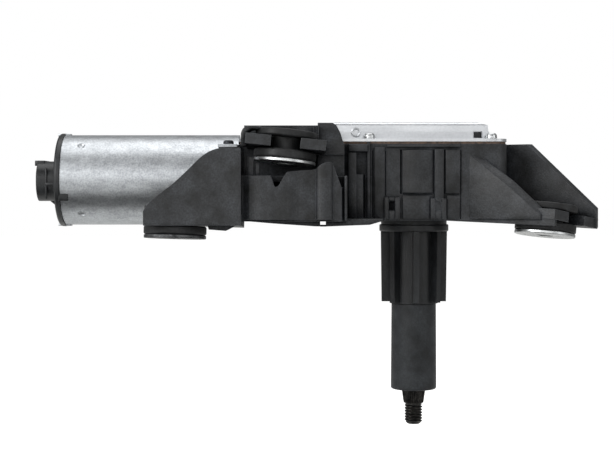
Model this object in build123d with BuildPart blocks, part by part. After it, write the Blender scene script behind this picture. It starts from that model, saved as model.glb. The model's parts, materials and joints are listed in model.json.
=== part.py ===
from build123d import *

import math
import os

os.makedirs("parts", exist_ok=True)

# Frame: millimetres, origin on the wiper shaft's axis in the plane of the gear housing's underside.
# X runs from the motor to the free arm, Y to the back wall, Z up to the cover; the shaft points down.

# Clearances that pieces are fitted with
running_gap = 0.05
press_gap = 0.02
body_gap = 0.3
face_gap = 0.1

# Wiper shaft
shaft_dia = 10.5
shaft_drop = 89.9
shaft_top = 29.4
spigot_dia = 7.0
thread_dia = 8.0
thread_length = 8.2
thread_chamfer = 1.3
relief_dia = 7.2
relief_length = 0.9
cone_bottom_dia = 8.8
cone_length = 5.9
cone_relief = 0.2

# Guide tube, collar and sleeve round the shaft
guide_wall = 1.7
bush_wall = 1.5
guide_flange_dia = 24.0
guide_flange = 1.5
guide_top = 20.0
bush_length = 11.0
collar_ring_dia = 30.3
collar_ring_height = 3.0
collar_neck_height = 2.0
collar_neck_dia = 25.0
collar_core_dia = 21.2
collar_rib_top_dia = 29.0
collar_rib_bottom_dia = 28.2
collar_height = 36.6
collar_rib_count = 8
collar_rib_thickness = 2.6
collar_rib_lift = 0.7
sleeve_top_dia = 19.5
sleeve_bottom_dia = 20.0
sleeve_length = 37.7
sleeve_edge_radius = 0.8
seal_height = 3.0
circlip_thickness = 0.9
circlip_width = 1.5

# Gear housing
housing_left = -76.0
housing_right = 38.0
housing_front = -24.5
housing_back = 49.5
housing_height = 32.4
housing_wall = 2.5
floor_thickness = 3.0
front_corner_radius = 6.0
back_corner_radius = 21.0
shaft_boss_dia = 25.0
shaft_boss_height = 16.0
axle_boss_dia = 15.0

# Worm, wheel and swing linkage
worm_module = 0.8
worm_pitch_radius = 4.6
worm_length = 24.0
wheel_teeth = 56
wheel_thickness = 9.0
wheel_web = 3.0
wheel_hub_dia = 24.0
wheel_backlash = 0.3
axle_dia = 8.0
linkage_module = 1.0
pinion_teeth = 16
sector_teeth = 32
linkage_backlash = 0.3
shaft_swing = 110.0
sector_thickness = 3.0
link_thickness = 1.6
link_width = 13.0
lever_length = 44.0
lever_width = 9.0
eye_radius = 6.5
sector_pin_dia = 6.0
crank_pin_dia = 7.0
contact_ring_thickness = 0.5
contact_ring_inner = 12.5
contact_ring_outer = 18.0

# Motor can and end cap
can_dia = 39.0
can_wall = 1.6
can_length = 75.5
motor_z = 17.4
can_edge_radius = 0.8
cap_dia = 40.4
cap_thickness = 4.6
cap_spigot = 7.0
cap_spigot_wall = 2.2
can_seat = 0.3
spigot_length = 4.0
ear_width = 8.0
ear_thickness = 1.2
ear_z = 30.9
ear_reach = 22.5
screw_dia = 2.5
screw_head_dia = 4.4
screw_head_height = 1.7
screw_length = 11.0

# Plug socket on the end cap
socket_height = 17.2
socket_depth = 22.0
socket_wall = 1.5
socket_reach = 9.0
socket_inner_depth = 10.0
socket_centre_z = 16.8
blade_count = 4
blade_pitch = 3.6
blade_width = 2.0
blade_thickness = 0.8
blade_length = 5.0
blade_root = 1.2

# Armature
armature_shaft_dia = 5.0
core_dia = 26.0
core_length = 34.0
core_slots = 10
slot_depth = 6.0
slot_width = 3.4
slot_mouth = 1.4
winding_reach = 6.0
winding_dia = 23.0
commutator_dia = 15.0
commutator_length = 10.0
commutator_slit = 0.5
magnet_thickness = 4.1
magnet_length = 42.0
magnet_arc = 130.0
bearing_dia = 11.0
bearing_length = 6.0

# Carbon brushes
brush_width = 5.0
brush_height = 4.0
brush_length = 7.0
brush_box_wall = 0.5
brush_plate_thickness = 2.5

# Cover, gasket and cover screws
gasket_thickness = 1.0
gasket_width = 3.2
cover_sheet = 1.2
cover_height = 8.5
cover_margin = 7.2
cover_dome_left = -37.0
cover_low_height = 4.5
cover_top_radius = 1.6
cover_screw_inset = 3.7
cover_screw_dia = 3.0
cover_screw_head_dia = 4.8
cover_screw_head_height = 2.4
cover_screw_length = 11.0
front_screw_x = -20.5
right_screw_y = 17.0
back_screw_x = -12.0
left_screw_y = 10.0
vent_width = 4.2
vent_height = 3.0
vent_x = 25.0

# Rubber grommets and their steel bushes
grommet_dia = 25.8
grommet_upper = 3.0
grommet_groove = 5.2
grommet_lower = 3.6
grommet_waist_dia = 14.0
grommet_edge_radius = 0.8
bush_dia = 10.0
bush_bore = 7.0
washer_dia = 25.6
washer_thickness = 1.6

# Arms that carry the grommets
arm_plate = 4.2
arm_wall = 2.4
slot_clearance = 0.2
mouth_width = 12.0
left_pad = (-101.1, -40.5, 0.6)
left_tilt = (1.5, 3.0)
middle_pad = (-55.6, -40.5, 31.4)
middle_tilt = (5.5, 3.0)
right_pad = (54.5, -22.5, 1.3)
right_tilt = (6.0, 5.0)
right_turn = -28.0
rim_top = 40.0
block_x = -37.0
block_width = 11.0
block_depth = 9.0
block_bottom = 27.5
block_top = 41.0
cover_side_gap = 0.4
bay_front = -50.5
bay_left = -73.5
bay_right = -33.0
bay_height = 18.5
bay_rib_pitch = 9.0

# Derived places
worm_addendum = worm_module
tooth_root = 1.25
wheel_radius = wheel_teeth * worm_module / 2
pinion_radius = pinion_teeth * linkage_module / 2
sector_radius = sector_teeth * linkage_module / 2
link_length = pinion_radius + sector_radius
link_swing = shaft_swing * pinion_radius / link_length
link_rest = 90 - link_swing / 2
crank_radius = link_length * math.sin(math.radians(link_swing / 2))
wheel_x = -lever_length
wheel_y = link_length * math.cos(math.radians(link_swing / 2))
sector_pin_x = link_length * math.cos(math.radians(link_rest))
sector_pin_y = link_length * math.sin(math.radians(link_rest))
motor_y = wheel_y - wheel_radius - worm_pitch_radius
wheel_bottom = motor_z - wheel_thickness / 2
wheel_top = motor_z + wheel_thickness / 2
lever_bottom = wheel_top + 1.5
lever_top = lever_bottom + sector_thickness
link_bottom = lever_top + body_gap + 0.2
link_top = link_bottom + link_thickness
guide_bore = shaft_dia + 2 * running_gap + 2 * bush_wall
guide_outer = guide_bore + 2 * guide_wall
can_front = housing_left - can_seat
can_rear = can_front - can_length
cap_rear = can_rear - cap_thickness
can_inner = can_dia - 2 * can_wall
sleeve_top = -collar_height - face_gap
sleeve_bottom = sleeve_top - sleeve_length
guide_bottom = sleeve_bottom + seal_height + body_gap
cone_top = sleeve_bottom - body_gap
gasket_top = housing_height + gasket_thickness
cover_top = gasket_top + cover_height


def across_motor(x):
    """Plane square to the armature's axis at x, its own x along +Y and its own y along +Z."""
    return Plane(origin=(x, motor_y, motor_z), x_dir=(0, 1, 0), z_dir=(1, 0, 0))


def pad_plane(centre, turn, tilt):
    """Plane of an arm's pad: local x leads out along the arm, local z leans by the two tilts."""
    side, back = (math.tan(math.radians(angle)) for angle in tilt)
    normal = Vector(side, back, 1).normalized()
    along = Vector(math.cos(math.radians(turn)), math.sin(math.radians(turn)), 0)
    along = (along - normal * along.dot(normal)).normalized()
    return Plane(origin=centre, x_dir=along, z_dir=normal)


def upright_plane(centre, turn, offset):
    """Upright plane along an arm, offset to its left, with local x outwards and local y up."""
    along = Vector(math.cos(math.radians(turn)), math.sin(math.radians(turn)), 0)
    left = Vector(-along.Y, along.X, 0)
    spot = Vector(centre[0], centre[1], 0) + left * offset
    return Plane(origin=spot, x_dir=along, z_dir=-left)


def tooth_points(pitch_radius, module, backlash):
    """Corners of one straight-sided tooth that points along local x."""
    half = math.pi * module / 4 - backlash / 2
    slope = math.tan(math.radians(20))
    tip = pitch_radius + module
    root = pitch_radius - tooth_root * module
    sunk = root - module / 2
    root_half = half + (pitch_radius - sunk) * slope
    tip_half = half - module * slope
    return [(sunk, -root_half), (tip, -tip_half), (tip, tip_half), (sunk, root_half)]


def housing_plan(inset):
    """Plan of the gear housing, drawn in by inset all round."""
    with BuildSketch(mode=Mode.PRIVATE) as plan:
        with BuildLine():
            Polyline(
                (housing_left, housing_front),
                (housing_right, housing_front),
                (housing_right, housing_back),
                (housing_left, housing_back),
                close=True,
            )
        make_face()
        fillet(plan.vertices().group_by(Axis.Y)[-1], back_corner_radius)
        fillet(plan.vertices().group_by(Axis.Y)[0], front_corner_radius)
        if inset:
            offset(amount=-inset, kind=Kind.ARC if inset > 0 else Kind.INTERSECTION)
    return plan.sketch


def cover_screw_places():
    """The six cover screws, each inside the rim by the same inset."""
    front = housing_front + cover_screw_inset
    back = housing_back - cover_screw_inset
    left = housing_left + cover_screw_inset
    right = housing_right - cover_screw_inset
    corner = (back_corner_radius - cover_screw_inset) * math.sin(math.radians(45))
    corner_x = housing_left + back_corner_radius - corner
    corner_y = housing_back - back_corner_radius + corner
    return [
        (front_screw_x, front),
        (right - front_corner_radius / 2, front),
        (right, right_screw_y),
        (back_screw_x, back),
        (corner_x, corner_y),
        (left, left_screw_y),
    ]


pads = {
    "left": pad_plane(left_pad, 180, left_tilt),
    "middle": pad_plane(middle_pad, -90, middle_tilt),
    "right": pad_plane(right_pad, right_turn, right_tilt),
}

# Gear housing: one black glass-filled moulding with the gear tub, the front bay and three arms
pad_half = grommet_dia / 2 + 1.0
slot_width_pad = grommet_waist_dia + 2 * slot_clearance
ear_screw_y = (motor_y - ear_reach, motor_y + ear_reach)

with BuildPart() as gear_housing:
    with BuildSketch(Plane.XY):
        add(housing_plan(0))
    extrude(amount=housing_height)

    # Front bay that carries the left arm below the middle grommet
    with BuildSketch(Plane.XY):
        with BuildLine():
            Polyline(
                (bay_left, housing_front + housing_wall),
                (bay_left, bay_front),
                (bay_right, bay_front),
                (bay_right + 14, housing_front),
                (bay_right + 14, housing_front + housing_wall),
                close=True,
            )
        make_face()
    extrude(amount=bay_height)

    # Middle arm: plate out of the front wall, side block and raised rim behind the grommet
    with BuildSketch(pads["middle"]):
        with Locations((0, 0)):
            Rectangle(2 * pad_half, 2 * pad_half + 2 * arm_wall, align=(Align.CENTER, Align.CENTER))
    extrude(amount=arm_plate / 2, both=True)
    with BuildSketch(Plane.XY.offset(bay_height)):
        with Locations((middle_pad[0] - 1.5, housing_front - cover_side_gap)):
            Rectangle(2 * pad_half + 2 * arm_wall, arm_wall, align=(Align.CENTER, Align.MAX))
    extrude(amount=rim_top - bay_height)
    with BuildSketch(Plane.XY.offset(block_bottom)):
        with Locations((block_x, housing_front - cover_side_gap)):
            Rectangle(block_width, block_depth, align=(Align.CENTER, Align.MAX))
    extrude(amount=block_top - block_bottom)
    with BuildSketch(Plane.XY.offset(bay_height)):
        with Locations((middle_pad[0] - 1.5, housing_front + 1)):
            Rectangle(2 * pad_half + 2 * arm_wall, arm_wall, align=(Align.CENTER, Align.MAX))
        with Locations((block_x, housing_front + 1)):
            Rectangle(block_width, block_depth, align=(Align.CENTER, Align.MAX))
    extrude(amount=housing_height - bay_height)

    # Left arm: floor plate, near and far gussets
    left_reach = 11.5
    left_root = bay_left - left_pad[0]
    with BuildSketch(pads["left"]):
        with Locations(((left_reach - left_root) / 2, 0)):
            Rectangle(left_reach + left_root, 2 * pad_half + 2 * arm_wall)
    extrude(amount=arm_plate / 2, both=True)
    for side in (1, -1):
        with BuildSketch(upright_plane(left_pad, 180, side * (pad_half + arm_wall / 2))):
            with BuildLine():
                crest = Spline(
                    (left_reach, 4.3),
                    (left_reach - 9.7, 13.5),
                    (left_reach - 19.5, 22.4),
                    (left_reach - 29.7, 29.3),
                    tangents=[(-0.5, 1), (-1, 0.25)],
                )
                Polyline(
                    crest @ 1,
                    (-left_root, 29.3),
                    (-left_root, -1.5),
                    (left_reach, -1.5),
                    crest @ 0,
                )
            make_face()
        extrude(amount=arm_wall / 2, both=True)

    # Right arm: sloping floor plate, short near gusset and long far gusset
    near_reach = 9.0
    far_reach = 17.6
    right_inner = -44.0
    with BuildSketch(pads["right"]):
        with BuildLine():
            Polyline(
                (right_inner, -pad_half - arm_wall),
                (near_reach, -pad_half - arm_wall),
                (far_reach, pad_half + arm_wall),
                (right_inner + 14, pad_half + arm_wall),
                close=True,
            )
        make_face()
    extrude(amount=arm_plate / 2, both=True)
    with BuildSketch(upright_plane(right_pad, right_turn, -pad_half - arm_wall / 2)):
        with BuildLine():
            Polyline(
                (right_inner, 0),
                (near_reach, -2.0),
                (near_reach, 1.5),
                (-2.4, 5.5),
                (-31.0, 30.3),
                (right_inner, 30.3),
                close=True,
            )
        make_face()
    extrude(amount=arm_wall / 2, both=True)
    with BuildSketch(upright_plane(right_pad, right_turn, pad_half + arm_wall / 2)):
        with BuildLine():
            Polyline(
                (-36.0, 0.0),
                (0, -1.5),
                (far_reach, -3.2),
                (far_reach, 5.2),
                (-12.0, 33.0),
                (-36.0, 33.0),
                close=True,
            )
        make_face()
    extrude(amount=arm_wall / 2, both=True)

    # Bosses for the can's two ear screws
    for y in ear_screw_y:
        with BuildSketch(Plane.XY.offset(10)):
            with Locations((housing_left - ear_width / 2 + 0.5, y)):
                Rectangle(ear_width + 1, ear_width)
        extrude(amount=ear_z - 10)

    # Spigot that centres the can
    with BuildSketch(across_motor(housing_left - spigot_length)):
        Circle(can_inner / 2 - face_gap)
    extrude(amount=spigot_length)

    # Gear chamber
    with BuildSketch(Plane.XY.offset(floor_thickness)):
        add(housing_plan(housing_wall))
    extrude(amount=housing_height, mode=Mode.SUBTRACT)
    # Keep the chamber's left bulkhead thick round the armature's front bearing
    with BuildSketch(across_motor(housing_left)):
        Circle(bearing_dia / 2 + 3)
    extrude(amount=bearing_length + housing_wall)
    with BuildSketch(Plane.XY):
        Circle(shaft_boss_dia / 2)
    extrude(amount=shaft_boss_height)
    with BuildSketch(Plane.XY):
        with Locations((wheel_x, wheel_y)):
            Circle(axle_boss_dia / 2)
    extrude(amount=wheel_bottom - body_gap)
    # Pedestal for the worm's end bearing
    with BuildSketch(Plane.XY):
        with Locations((-23.5, motor_y)):
            Rectangle(8.0, 14.0)
    extrude(amount=motor_z + 8.0)
    # Towers for the cover screws
    with BuildSketch(Plane.XY):
        with Locations(*cover_screw_places()):
            Circle(cover_screw_inset - 0.1)
    extrude(amount=housing_height)

    # Holes
    with Locations((0, 0, 0)):
        Cylinder(guide_outer / 2 + press_gap, 100, mode=Mode.SUBTRACT)
    with Locations((wheel_x, wheel_y, 1.0)):
        Cylinder(
            axle_dia / 2 + press_gap,
            40,
            align=(Align.CENTER, Align.CENTER, Align.MIN),
            mode=Mode.SUBTRACT,
        )
    with BuildSketch(Plane.XY.offset(housing_height)):
        with Locations(*cover_screw_places()):
            Circle(cover_screw_dia / 2 + running_gap)
    extrude(amount=-cover_screw_length, mode=Mode.SUBTRACT)
    with BuildSketch(Plane.XY.offset(ear_z)):
        with Locations(*[(housing_left - ear_width / 2, y) for y in ear_screw_y]):
            Circle(screw_dia / 2 + running_gap)
    extrude(amount=-12, mode=Mode.SUBTRACT)
    # Room for the gasket and cover beside the middle arm
    with BuildSketch(Plane.XY.offset(housing_height)):
        add(housing_plan(-cover_side_gap))
    extrude(amount=cover_height + gasket_thickness, mode=Mode.SUBTRACT)
    # Room for the can's mouth round the spigot
    with BuildSketch(across_motor(can_front - 9.0)):
        Circle(can_dia / 2 + body_gap)
        Circle(can_inner / 2 - face_gap, mode=Mode.SUBTRACT)
    extrude(amount=9.0, mode=Mode.SUBTRACT)
    with BuildSketch(across_motor(can_front - 9.0)):
        Circle(can_dia / 2 + body_gap)
    extrude(amount=9.0 + can_seat - spigot_length, mode=Mode.SUBTRACT)
    # Bearing seats along the armature
    with BuildSketch(across_motor(housing_left - spigot_length)):
        Circle(armature_shaft_dia / 2 + 1.5)
    extrude(amount=30, mode=Mode.SUBTRACT)
    with BuildSketch(across_motor(housing_left + housing_wall)):
        Circle(bearing_dia / 2 + press_gap)
    extrude(amount=30, mode=Mode.SUBTRACT)
    with BuildSketch(across_motor(-27.5)):
        Circle(bearing_dia / 2 + press_gap)
    extrude(amount=5.0, mode=Mode.SUBTRACT)

    # Forked slots for the grommets' waists
    for name, reach in (("left", 30), ("middle", 30), ("right", 30)):
        with BuildSketch(pads[name]):
            Circle(slot_width_pad / 2)
            with Locations((reach / 2, 0)):
                Rectangle(reach, mouth_width)
        extrude(amount=arm_plate, both=True, mode=Mode.SUBTRACT)
        # Room above and below the plate for the grommet's flanges and washer
        with BuildSketch(pads[name].offset(arm_plate / 2)):
            Circle(grommet_dia / 2 + 0.6)
        extrude(amount=grommet_upper + 3, mode=Mode.SUBTRACT)
        with BuildSketch(pads[name].offset(-arm_plate / 2)):
            Circle(grommet_dia / 2 + 0.6)
        extrude(amount=-grommet_lower - washer_thickness - 2, mode=Mode.SUBTRACT)

    # Cells under the front bay
    cell_count = 4
    cell_width = (bay_right - bay_left - (cell_count + 1) * arm_wall) / cell_count
    with BuildSketch(Plane.XY):
        for index in range(cell_count):
            left = bay_left + arm_wall + index * (cell_width + arm_wall)
            with Locations((left, bay_front + arm_wall)):
                Rectangle(
                    cell_width,
                    housing_front - bay_front - 2 * arm_wall,
                    align=(Align.MIN, Align.MIN),
                )
    extrude(amount=bay_height - arm_wall, mode=Mode.SUBTRACT)
gear_housing.part.label = "gear_housing"
export_step(gear_housing.part, "parts/gear_housing.step")

# Gasket: dark rubber-cork frame between the housing's rim and the cover
with BuildPart() as cover_gasket:
    with BuildSketch(Plane.XY.offset(housing_height)):
        add(housing_plan(0.4))
        add(housing_plan(0.4 + gasket_width), mode=Mode.SUBTRACT)
        with Locations(*cover_screw_places()):
            Circle(cover_screw_inset - 0.5)
        with Locations(*cover_screw_places()):
            Circle(cover_screw_dia / 2 + running_gap, mode=Mode.SUBTRACT)
    extrude(amount=gasket_thickness)
cover_gasket.part.label = "cover_gasket"
export_step(cover_gasket.part, "parts/cover_gasket.step")


def dome_plan(inset):
    """Plan of the cover's raised part, drawn in by inset."""
    with BuildSketch(mode=Mode.PRIVATE) as plan:
        add(housing_plan(cover_margin))
        with Locations((cover_dome_left, 0)):
            Rectangle(400, 400, align=(Align.MIN, Align.CENTER), mode=Mode.INTERSECT)
        if inset:
            offset(amount=-inset, kind=Kind.INTERSECTION)
    return plan.sketch


# Cover: pressed aluminium sheet with a high dome over the linkage and a low step over the wheel
with BuildPart() as cover:
    with BuildSketch(Plane.XY.offset(gasket_top)):
        add(housing_plan(0))
    extrude(amount=cover_sheet)
    with BuildSketch(Plane.XY.offset(gasket_top)):
        add(housing_plan(cover_margin))
    extrude(amount=cover_low_height)
    with BuildSketch(Plane.XY.offset(gasket_top)):
        add(dome_plan(0))
    extrude(amount=cover_height, taper=4)
    fillet(cover.faces().sort_by(Axis.Z)[-1].edges(), cover_top_radius)
    with BuildSketch(Plane.XY.offset(gasket_top)):
        add(housing_plan(cover_margin + cover_sheet))
    extrude(amount=cover_low_height - cover_sheet, mode=Mode.SUBTRACT)
    with BuildSketch(Plane.XY.offset(gasket_top)):
        add(dome_plan(cover_sheet + 0.2))
    extrude(amount=cover_height - cover_sheet, taper=4, mode=Mode.SUBTRACT)
    with BuildSketch(Plane.XY.offset(gasket_top)):
        with Locations(*cover_screw_places()):
            Circle(cover_screw_dia / 2 + running_gap)
    extrude(amount=cover_sheet, mode=Mode.SUBTRACT)
cover.part.label = "cover"
export_step(cover.part, "parts/cover.step")

# Six cover screws
with BuildPart() as cover_screws:
    with BuildSketch(Plane.XY.offset(gasket_top + cover_sheet)):
        with Locations(*cover_screw_places()):
            Circle(cover_screw_head_dia / 2)
    extrude(amount=cover_screw_head_height)
    fillet(cover_screws.faces().group_by(Axis.Z)[-1].edges(), 0.9)
    with BuildSketch(Plane.XY.offset(gasket_top + cover_sheet)):
        with Locations(*cover_screw_places()):
            Circle(cover_screw_dia / 2)
    extrude(amount=-(cover_screw_length + gasket_thickness + cover_sheet - 0.5))
cover_screws.part.label = "cover_screws"
export_step(cover_screws.part, "parts/cover_screws.step")

# Motor can: zinc-plated steel tube with two ears at the gear end
with BuildPart() as motor_can:
    with BuildSketch(across_motor(can_rear)):
        Circle(can_dia / 2)
        Circle(can_inner / 2, mode=Mode.SUBTRACT)
    extrude(amount=can_length)
    for sign in (-1, 1):
        with BuildSketch(Plane.XY.offset(ear_z)):
            with Locations((can_front - ear_width / 2, motor_y + sign * (ear_reach - 3.5))):
                Rectangle(ear_width, 14.0)
        extrude(amount=ear_thickness)
    with BuildSketch(across_motor(can_rear)):
        Circle(can_inner / 2)
    extrude(amount=can_length, mode=Mode.SUBTRACT)
    with BuildSketch(Plane.XY.offset(ear_z)):
        with Locations(*[(housing_left - ear_width / 2, y) for y in ear_screw_y]):
            Circle(screw_dia / 2 + running_gap)
    extrude(amount=10, mode=Mode.SUBTRACT)
motor_can.part.label = "motor_can"
export_step(motor_can.part, "parts/motor_can.step")

# End cap: black plastic closure of the can with the plug socket moulded on it
socket_radius = socket_height / 2 - 0.6
socket_mouth_x = cap_rear - socket_reach
socket_floor_x = socket_mouth_x + socket_inner_depth
with BuildPart() as end_cap:
    with BuildSketch(across_motor(cap_rear)):
        Circle(cap_dia / 2)
    extrude(amount=cap_thickness - face_gap)
    fillet(end_cap.faces().sort_by(Axis.X)[0].edges(), 1.2)
    with BuildSketch(across_motor(can_rear - face_gap)):
        Circle(can_inner / 2 - face_gap)
        Circle(can_inner / 2 - face_gap - cap_spigot_wall, mode=Mode.SUBTRACT)
    extrude(amount=cap_spigot)
    # Boss for the rear bearing
    with BuildSketch(across_motor(can_rear - face_gap)):
        Circle(bearing_dia / 2 + 1.8)
    extrude(amount=bearing_length - 1)
    with BuildSketch(across_motor(can_rear - 2)):
        Circle(bearing_dia / 2 + press_gap)
    extrude(amount=bearing_length + 2, mode=Mode.SUBTRACT)
    # Plug socket: an oval shroud that opens away from the motor
    with BuildSketch(across_motor(socket_mouth_x)):
        with Locations((0, socket_centre_z - motor_z)):
            RectangleRounded(socket_depth, socket_height, socket_radius)
    extrude(amount=socket_reach + 1)
    with BuildSketch(across_motor(socket_mouth_x)):
        with Locations((0, socket_centre_z - motor_z)):
            RectangleRounded(
                socket_depth - 2 * socket_wall,
                socket_height - 2 * socket_wall,
                socket_radius - socket_wall,
            )
    extrude(amount=socket_inner_depth, mode=Mode.SUBTRACT)
    # Slots that the terminals pass through
    with BuildSketch(across_motor(socket_floor_x)):
        with Locations((0, socket_centre_z - motor_z)):
            with GridLocations(blade_pitch, 0, blade_count, 1):
                Rectangle(blade_width + 2 * press_gap, blade_thickness + 2 * press_gap)
    extrude(amount=blade_root, mode=Mode.SUBTRACT)
end_cap.part.label = "end_cap"
export_step(end_cap.part, "parts/end_cap.step")

# Four flat plug terminals
with BuildPart() as plug_terminals:
    with BuildSketch(across_motor(socket_floor_x - blade_length)):
        with Locations((0, socket_centre_z - motor_z)):
            with GridLocations(blade_pitch, 0, blade_count, 1):
                Rectangle(blade_width, blade_thickness)
    extrude(amount=blade_length + blade_root)
    chamfer(plug_terminals.faces().group_by(Axis.X)[0].edges(), 0.25)
plug_terminals.part.label = "plug_terminals"
export_step(plug_terminals.part, "parts/plug_terminals.step")

# Brush plate: insulating disc inside the cap's spigot, with the brush boxes riveted on
plate_x = can_rear + cap_spigot + face_gap
brush_centre_x = plate_x + brush_plate_thickness + brush_box_wall + brush_width / 2
commutator_front = brush_centre_x - commutator_length / 2
with BuildPart() as brush_plate:
    with BuildSketch(across_motor(plate_x)):
        Circle(can_inner / 2 - face_gap)
        Circle(commutator_dia / 2 + 1.2, mode=Mode.SUBTRACT)
    extrude(amount=brush_plate_thickness)
brush_plate.part.label = "brush_plate"
export_step(brush_plate.part, "parts/brush_plate.step")

brush_start = commutator_dia / 2 + face_gap
box_start = brush_start + 1.2
box_end = can_inner / 2 - 1.2
box_plane_x = plate_x + brush_plate_thickness
with BuildPart() as brush_boxes:
    for sign in (-1, 1):
        with BuildSketch(across_motor(box_plane_x)):
            with Locations((0, sign * (box_start + box_end) / 2)):
                Rectangle(brush_height + 2 * brush_box_wall + 0.1, box_end - box_start)
        extrude(amount=brush_width + 2 * brush_box_wall + 0.1)
        with BuildSketch(across_motor(box_plane_x + brush_box_wall)):
            with Locations((0, sign * (box_start + box_end) / 2)):
                Rectangle(brush_height + 0.1, box_end - box_start)
        extrude(amount=brush_width + 0.1, mode=Mode.SUBTRACT)
brush_boxes.part.label = "brush_boxes"
export_step(brush_boxes.part, "parts/brush_boxes.step")

with BuildPart() as carbon_brushes:
    for sign in (-1, 1):
        with BuildSketch(across_motor(box_plane_x + brush_box_wall + running_gap)):
            with Locations((0, sign * (brush_start + brush_length / 2))):
                Rectangle(brush_height, brush_length)
            Circle(brush_start, mode=Mode.SUBTRACT)
        extrude(amount=brush_width)
carbon_brushes.part.label = "carbon_brushes"
export_step(carbon_brushes.part, "parts/carbon_brushes.step")

# Brush springs: small coils behind the brushes, drawn as rings
spring_start = brush_start + brush_length + press_gap
spring_turns = 3
with BuildPart() as brush_springs:
    for sign in (-1, 1):
        spring_base = Plane(
            origin=(brush_centre_x, motor_y, motor_z + sign * spring_start),
            x_dir=(1, 0, 0),
            z_dir=(0, 0, sign),
        )
        with BuildSketch(spring_base):
            Circle(1.7)
            Circle(1.2, mode=Mode.SUBTRACT)
        extrude(amount=box_end - spring_start)
brush_springs.part.label = "brush_springs"
export_step(brush_springs.part, "parts/brush_springs.step")

# Field magnets: two ferrite arcs bonded inside the can
core_start = commutator_front + commutator_length + winding_reach + 3.0
magnet_start = core_start + (core_length - magnet_length) / 2
magnet_outer = can_inner / 2 - press_gap
magnet_inner = magnet_outer - magnet_thickness
with BuildPart() as field_magnets:
    with BuildSketch(across_motor(magnet_start)):
        Circle(magnet_outer)
        Circle(magnet_inner, mode=Mode.SUBTRACT)
        gap_angle = (180 - magnet_arc) / 2
        for side in (0, 180):
            with BuildLine():
                Polyline(
                    (0, 0),
                    (60 * math.cos(math.radians(side - gap_angle)), 60 * math.sin(math.radians(side - gap_angle))),
                    (60 * math.cos(math.radians(side + gap_angle)), 60 * math.sin(math.radians(side + gap_angle))),
                    close=True,
                )
            make_face(mode=Mode.SUBTRACT)
    extrude(amount=magnet_length)
field_magnets.part.label = "field_magnets"
export_step(field_magnets.part, "parts/field_magnets.step")

# Armature bearings: two sintered bushes and the worm's end bush
with BuildPart() as rear_bearing:
    with BuildSketch(across_motor(can_rear - 2)):
        Circle(bearing_dia / 2)
        Circle(armature_shaft_dia / 2 + running_gap, mode=Mode.SUBTRACT)
    extrude(amount=bearing_length)
rear_bearing.part.label = "rear_bearing"
export_step(rear_bearing.part, "parts/rear_bearing.step")

with BuildPart() as front_bearing:
    with BuildSketch(across_motor(housing_left + housing_wall + press_gap)):
        Circle(bearing_dia / 2)
        Circle(armature_shaft_dia / 2 + running_gap, mode=Mode.SUBTRACT)
    extrude(amount=bearing_length)
front_bearing.part.label = "front_bearing"
export_step(front_bearing.part, "parts/front_bearing.step")

end_seat_x = -27.5
end_seat_length = 5.0
with BuildPart() as worm_end_bearing:
    with BuildSketch(across_motor(end_seat_x)):
        Circle(bearing_dia / 2)
        Circle(armature_shaft_dia / 2 + running_gap, mode=Mode.SUBTRACT)
    extrude(amount=end_seat_length - 1.0)
worm_end_bearing.part.label = "worm_end_bearing"
export_step(worm_end_bearing.part, "parts/worm_end_bearing.step")

with BuildPart() as thrust_pad:
    with BuildSketch(across_motor(end_seat_x + end_seat_length - 1.0 + press_gap)):
        Circle(bearing_dia / 2)
    extrude(amount=1.0 - 2 * press_gap)
thrust_pad.part.label = "thrust_pad"
export_step(thrust_pad.part, "parts/thrust_pad.step")

# Worm thread: one start, drawn round +Z and then laid along the armature
worm_lead = math.pi * worm_module
worm_turns = round(worm_length / worm_lead / 2) * 2 - 1
thread_half = worm_lead / 4 - wheel_backlash / 2
thread_slope = math.tan(math.radians(20))
thread_tip = worm_module * 0.98
thread_foot = tooth_root * worm_module + 0.3
with BuildPart() as worm_thread:
    with BuildLine() as worm_path:
        Helix(pitch=worm_lead, height=worm_turns * worm_lead, radius=worm_pitch_radius)
    thread_plane = Plane(
        origin=worm_path.line @ 0,
        x_dir=(1, 0, 0),
        z_dir=worm_path.line % 0,
    )
    with BuildSketch(thread_plane):
        with BuildLine():
            Polyline(
                (-thread_foot, -thread_half - thread_foot * thread_slope),
                (thread_tip, -thread_half + thread_tip * thread_slope),
                (thread_tip, thread_half - thread_tip * thread_slope),
                (-thread_foot, thread_half + thread_foot * thread_slope),
                close=True,
            )
        make_face()
    sweep(is_frenet=True)
worm_start = wheel_x - worm_turns * worm_lead / 2 + worm_lead / 2
worm_root_radius = worm_pitch_radius - tooth_root * worm_module

# Armature shaft with its rolled worm
shaft_rear = can_rear - 1.6
shaft_front = end_seat_x + end_seat_length - 1.0 - running_gap
laid_thread = worm_thread.part.moved(across_motor(worm_start).location)
with BuildPart() as armature_shaft:
    with BuildSketch(across_motor(shaft_rear)):
        Circle(armature_shaft_dia / 2)
    extrude(amount=shaft_front - shaft_rear)
    with BuildSketch(across_motor(worm_start - worm_lead)):
        Circle(worm_root_radius)
    extrude(amount=(worm_turns + 2) * worm_lead)
    add(laid_thread)
armature_shaft.part.label = "armature_shaft"
export_step(armature_shaft.part, "parts/armature_shaft.step")

# Commutator: copper bars on an insulating sleeve
with BuildPart() as commutator:
    with BuildSketch(across_motor(commutator_front)):
        Circle(commutator_dia / 2)
        Circle(armature_shaft_dia / 2 + 1.2, mode=Mode.SUBTRACT)
        with PolarLocations(commutator_dia / 2, core_slots):
            Rectangle(2.4, commutator_slit, mode=Mode.SUBTRACT)
    extrude(amount=commutator_length)
    with BuildSketch(across_motor(commutator_front + commutator_length)):
        Circle(commutator_dia / 2 + 1.0)
        Circle(armature_shaft_dia / 2 + 1.2, mode=Mode.SUBTRACT)
    extrude(amount=1.2)
commutator.part.label = "commutator"
export_step(commutator.part, "parts/commutator.step")

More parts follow.
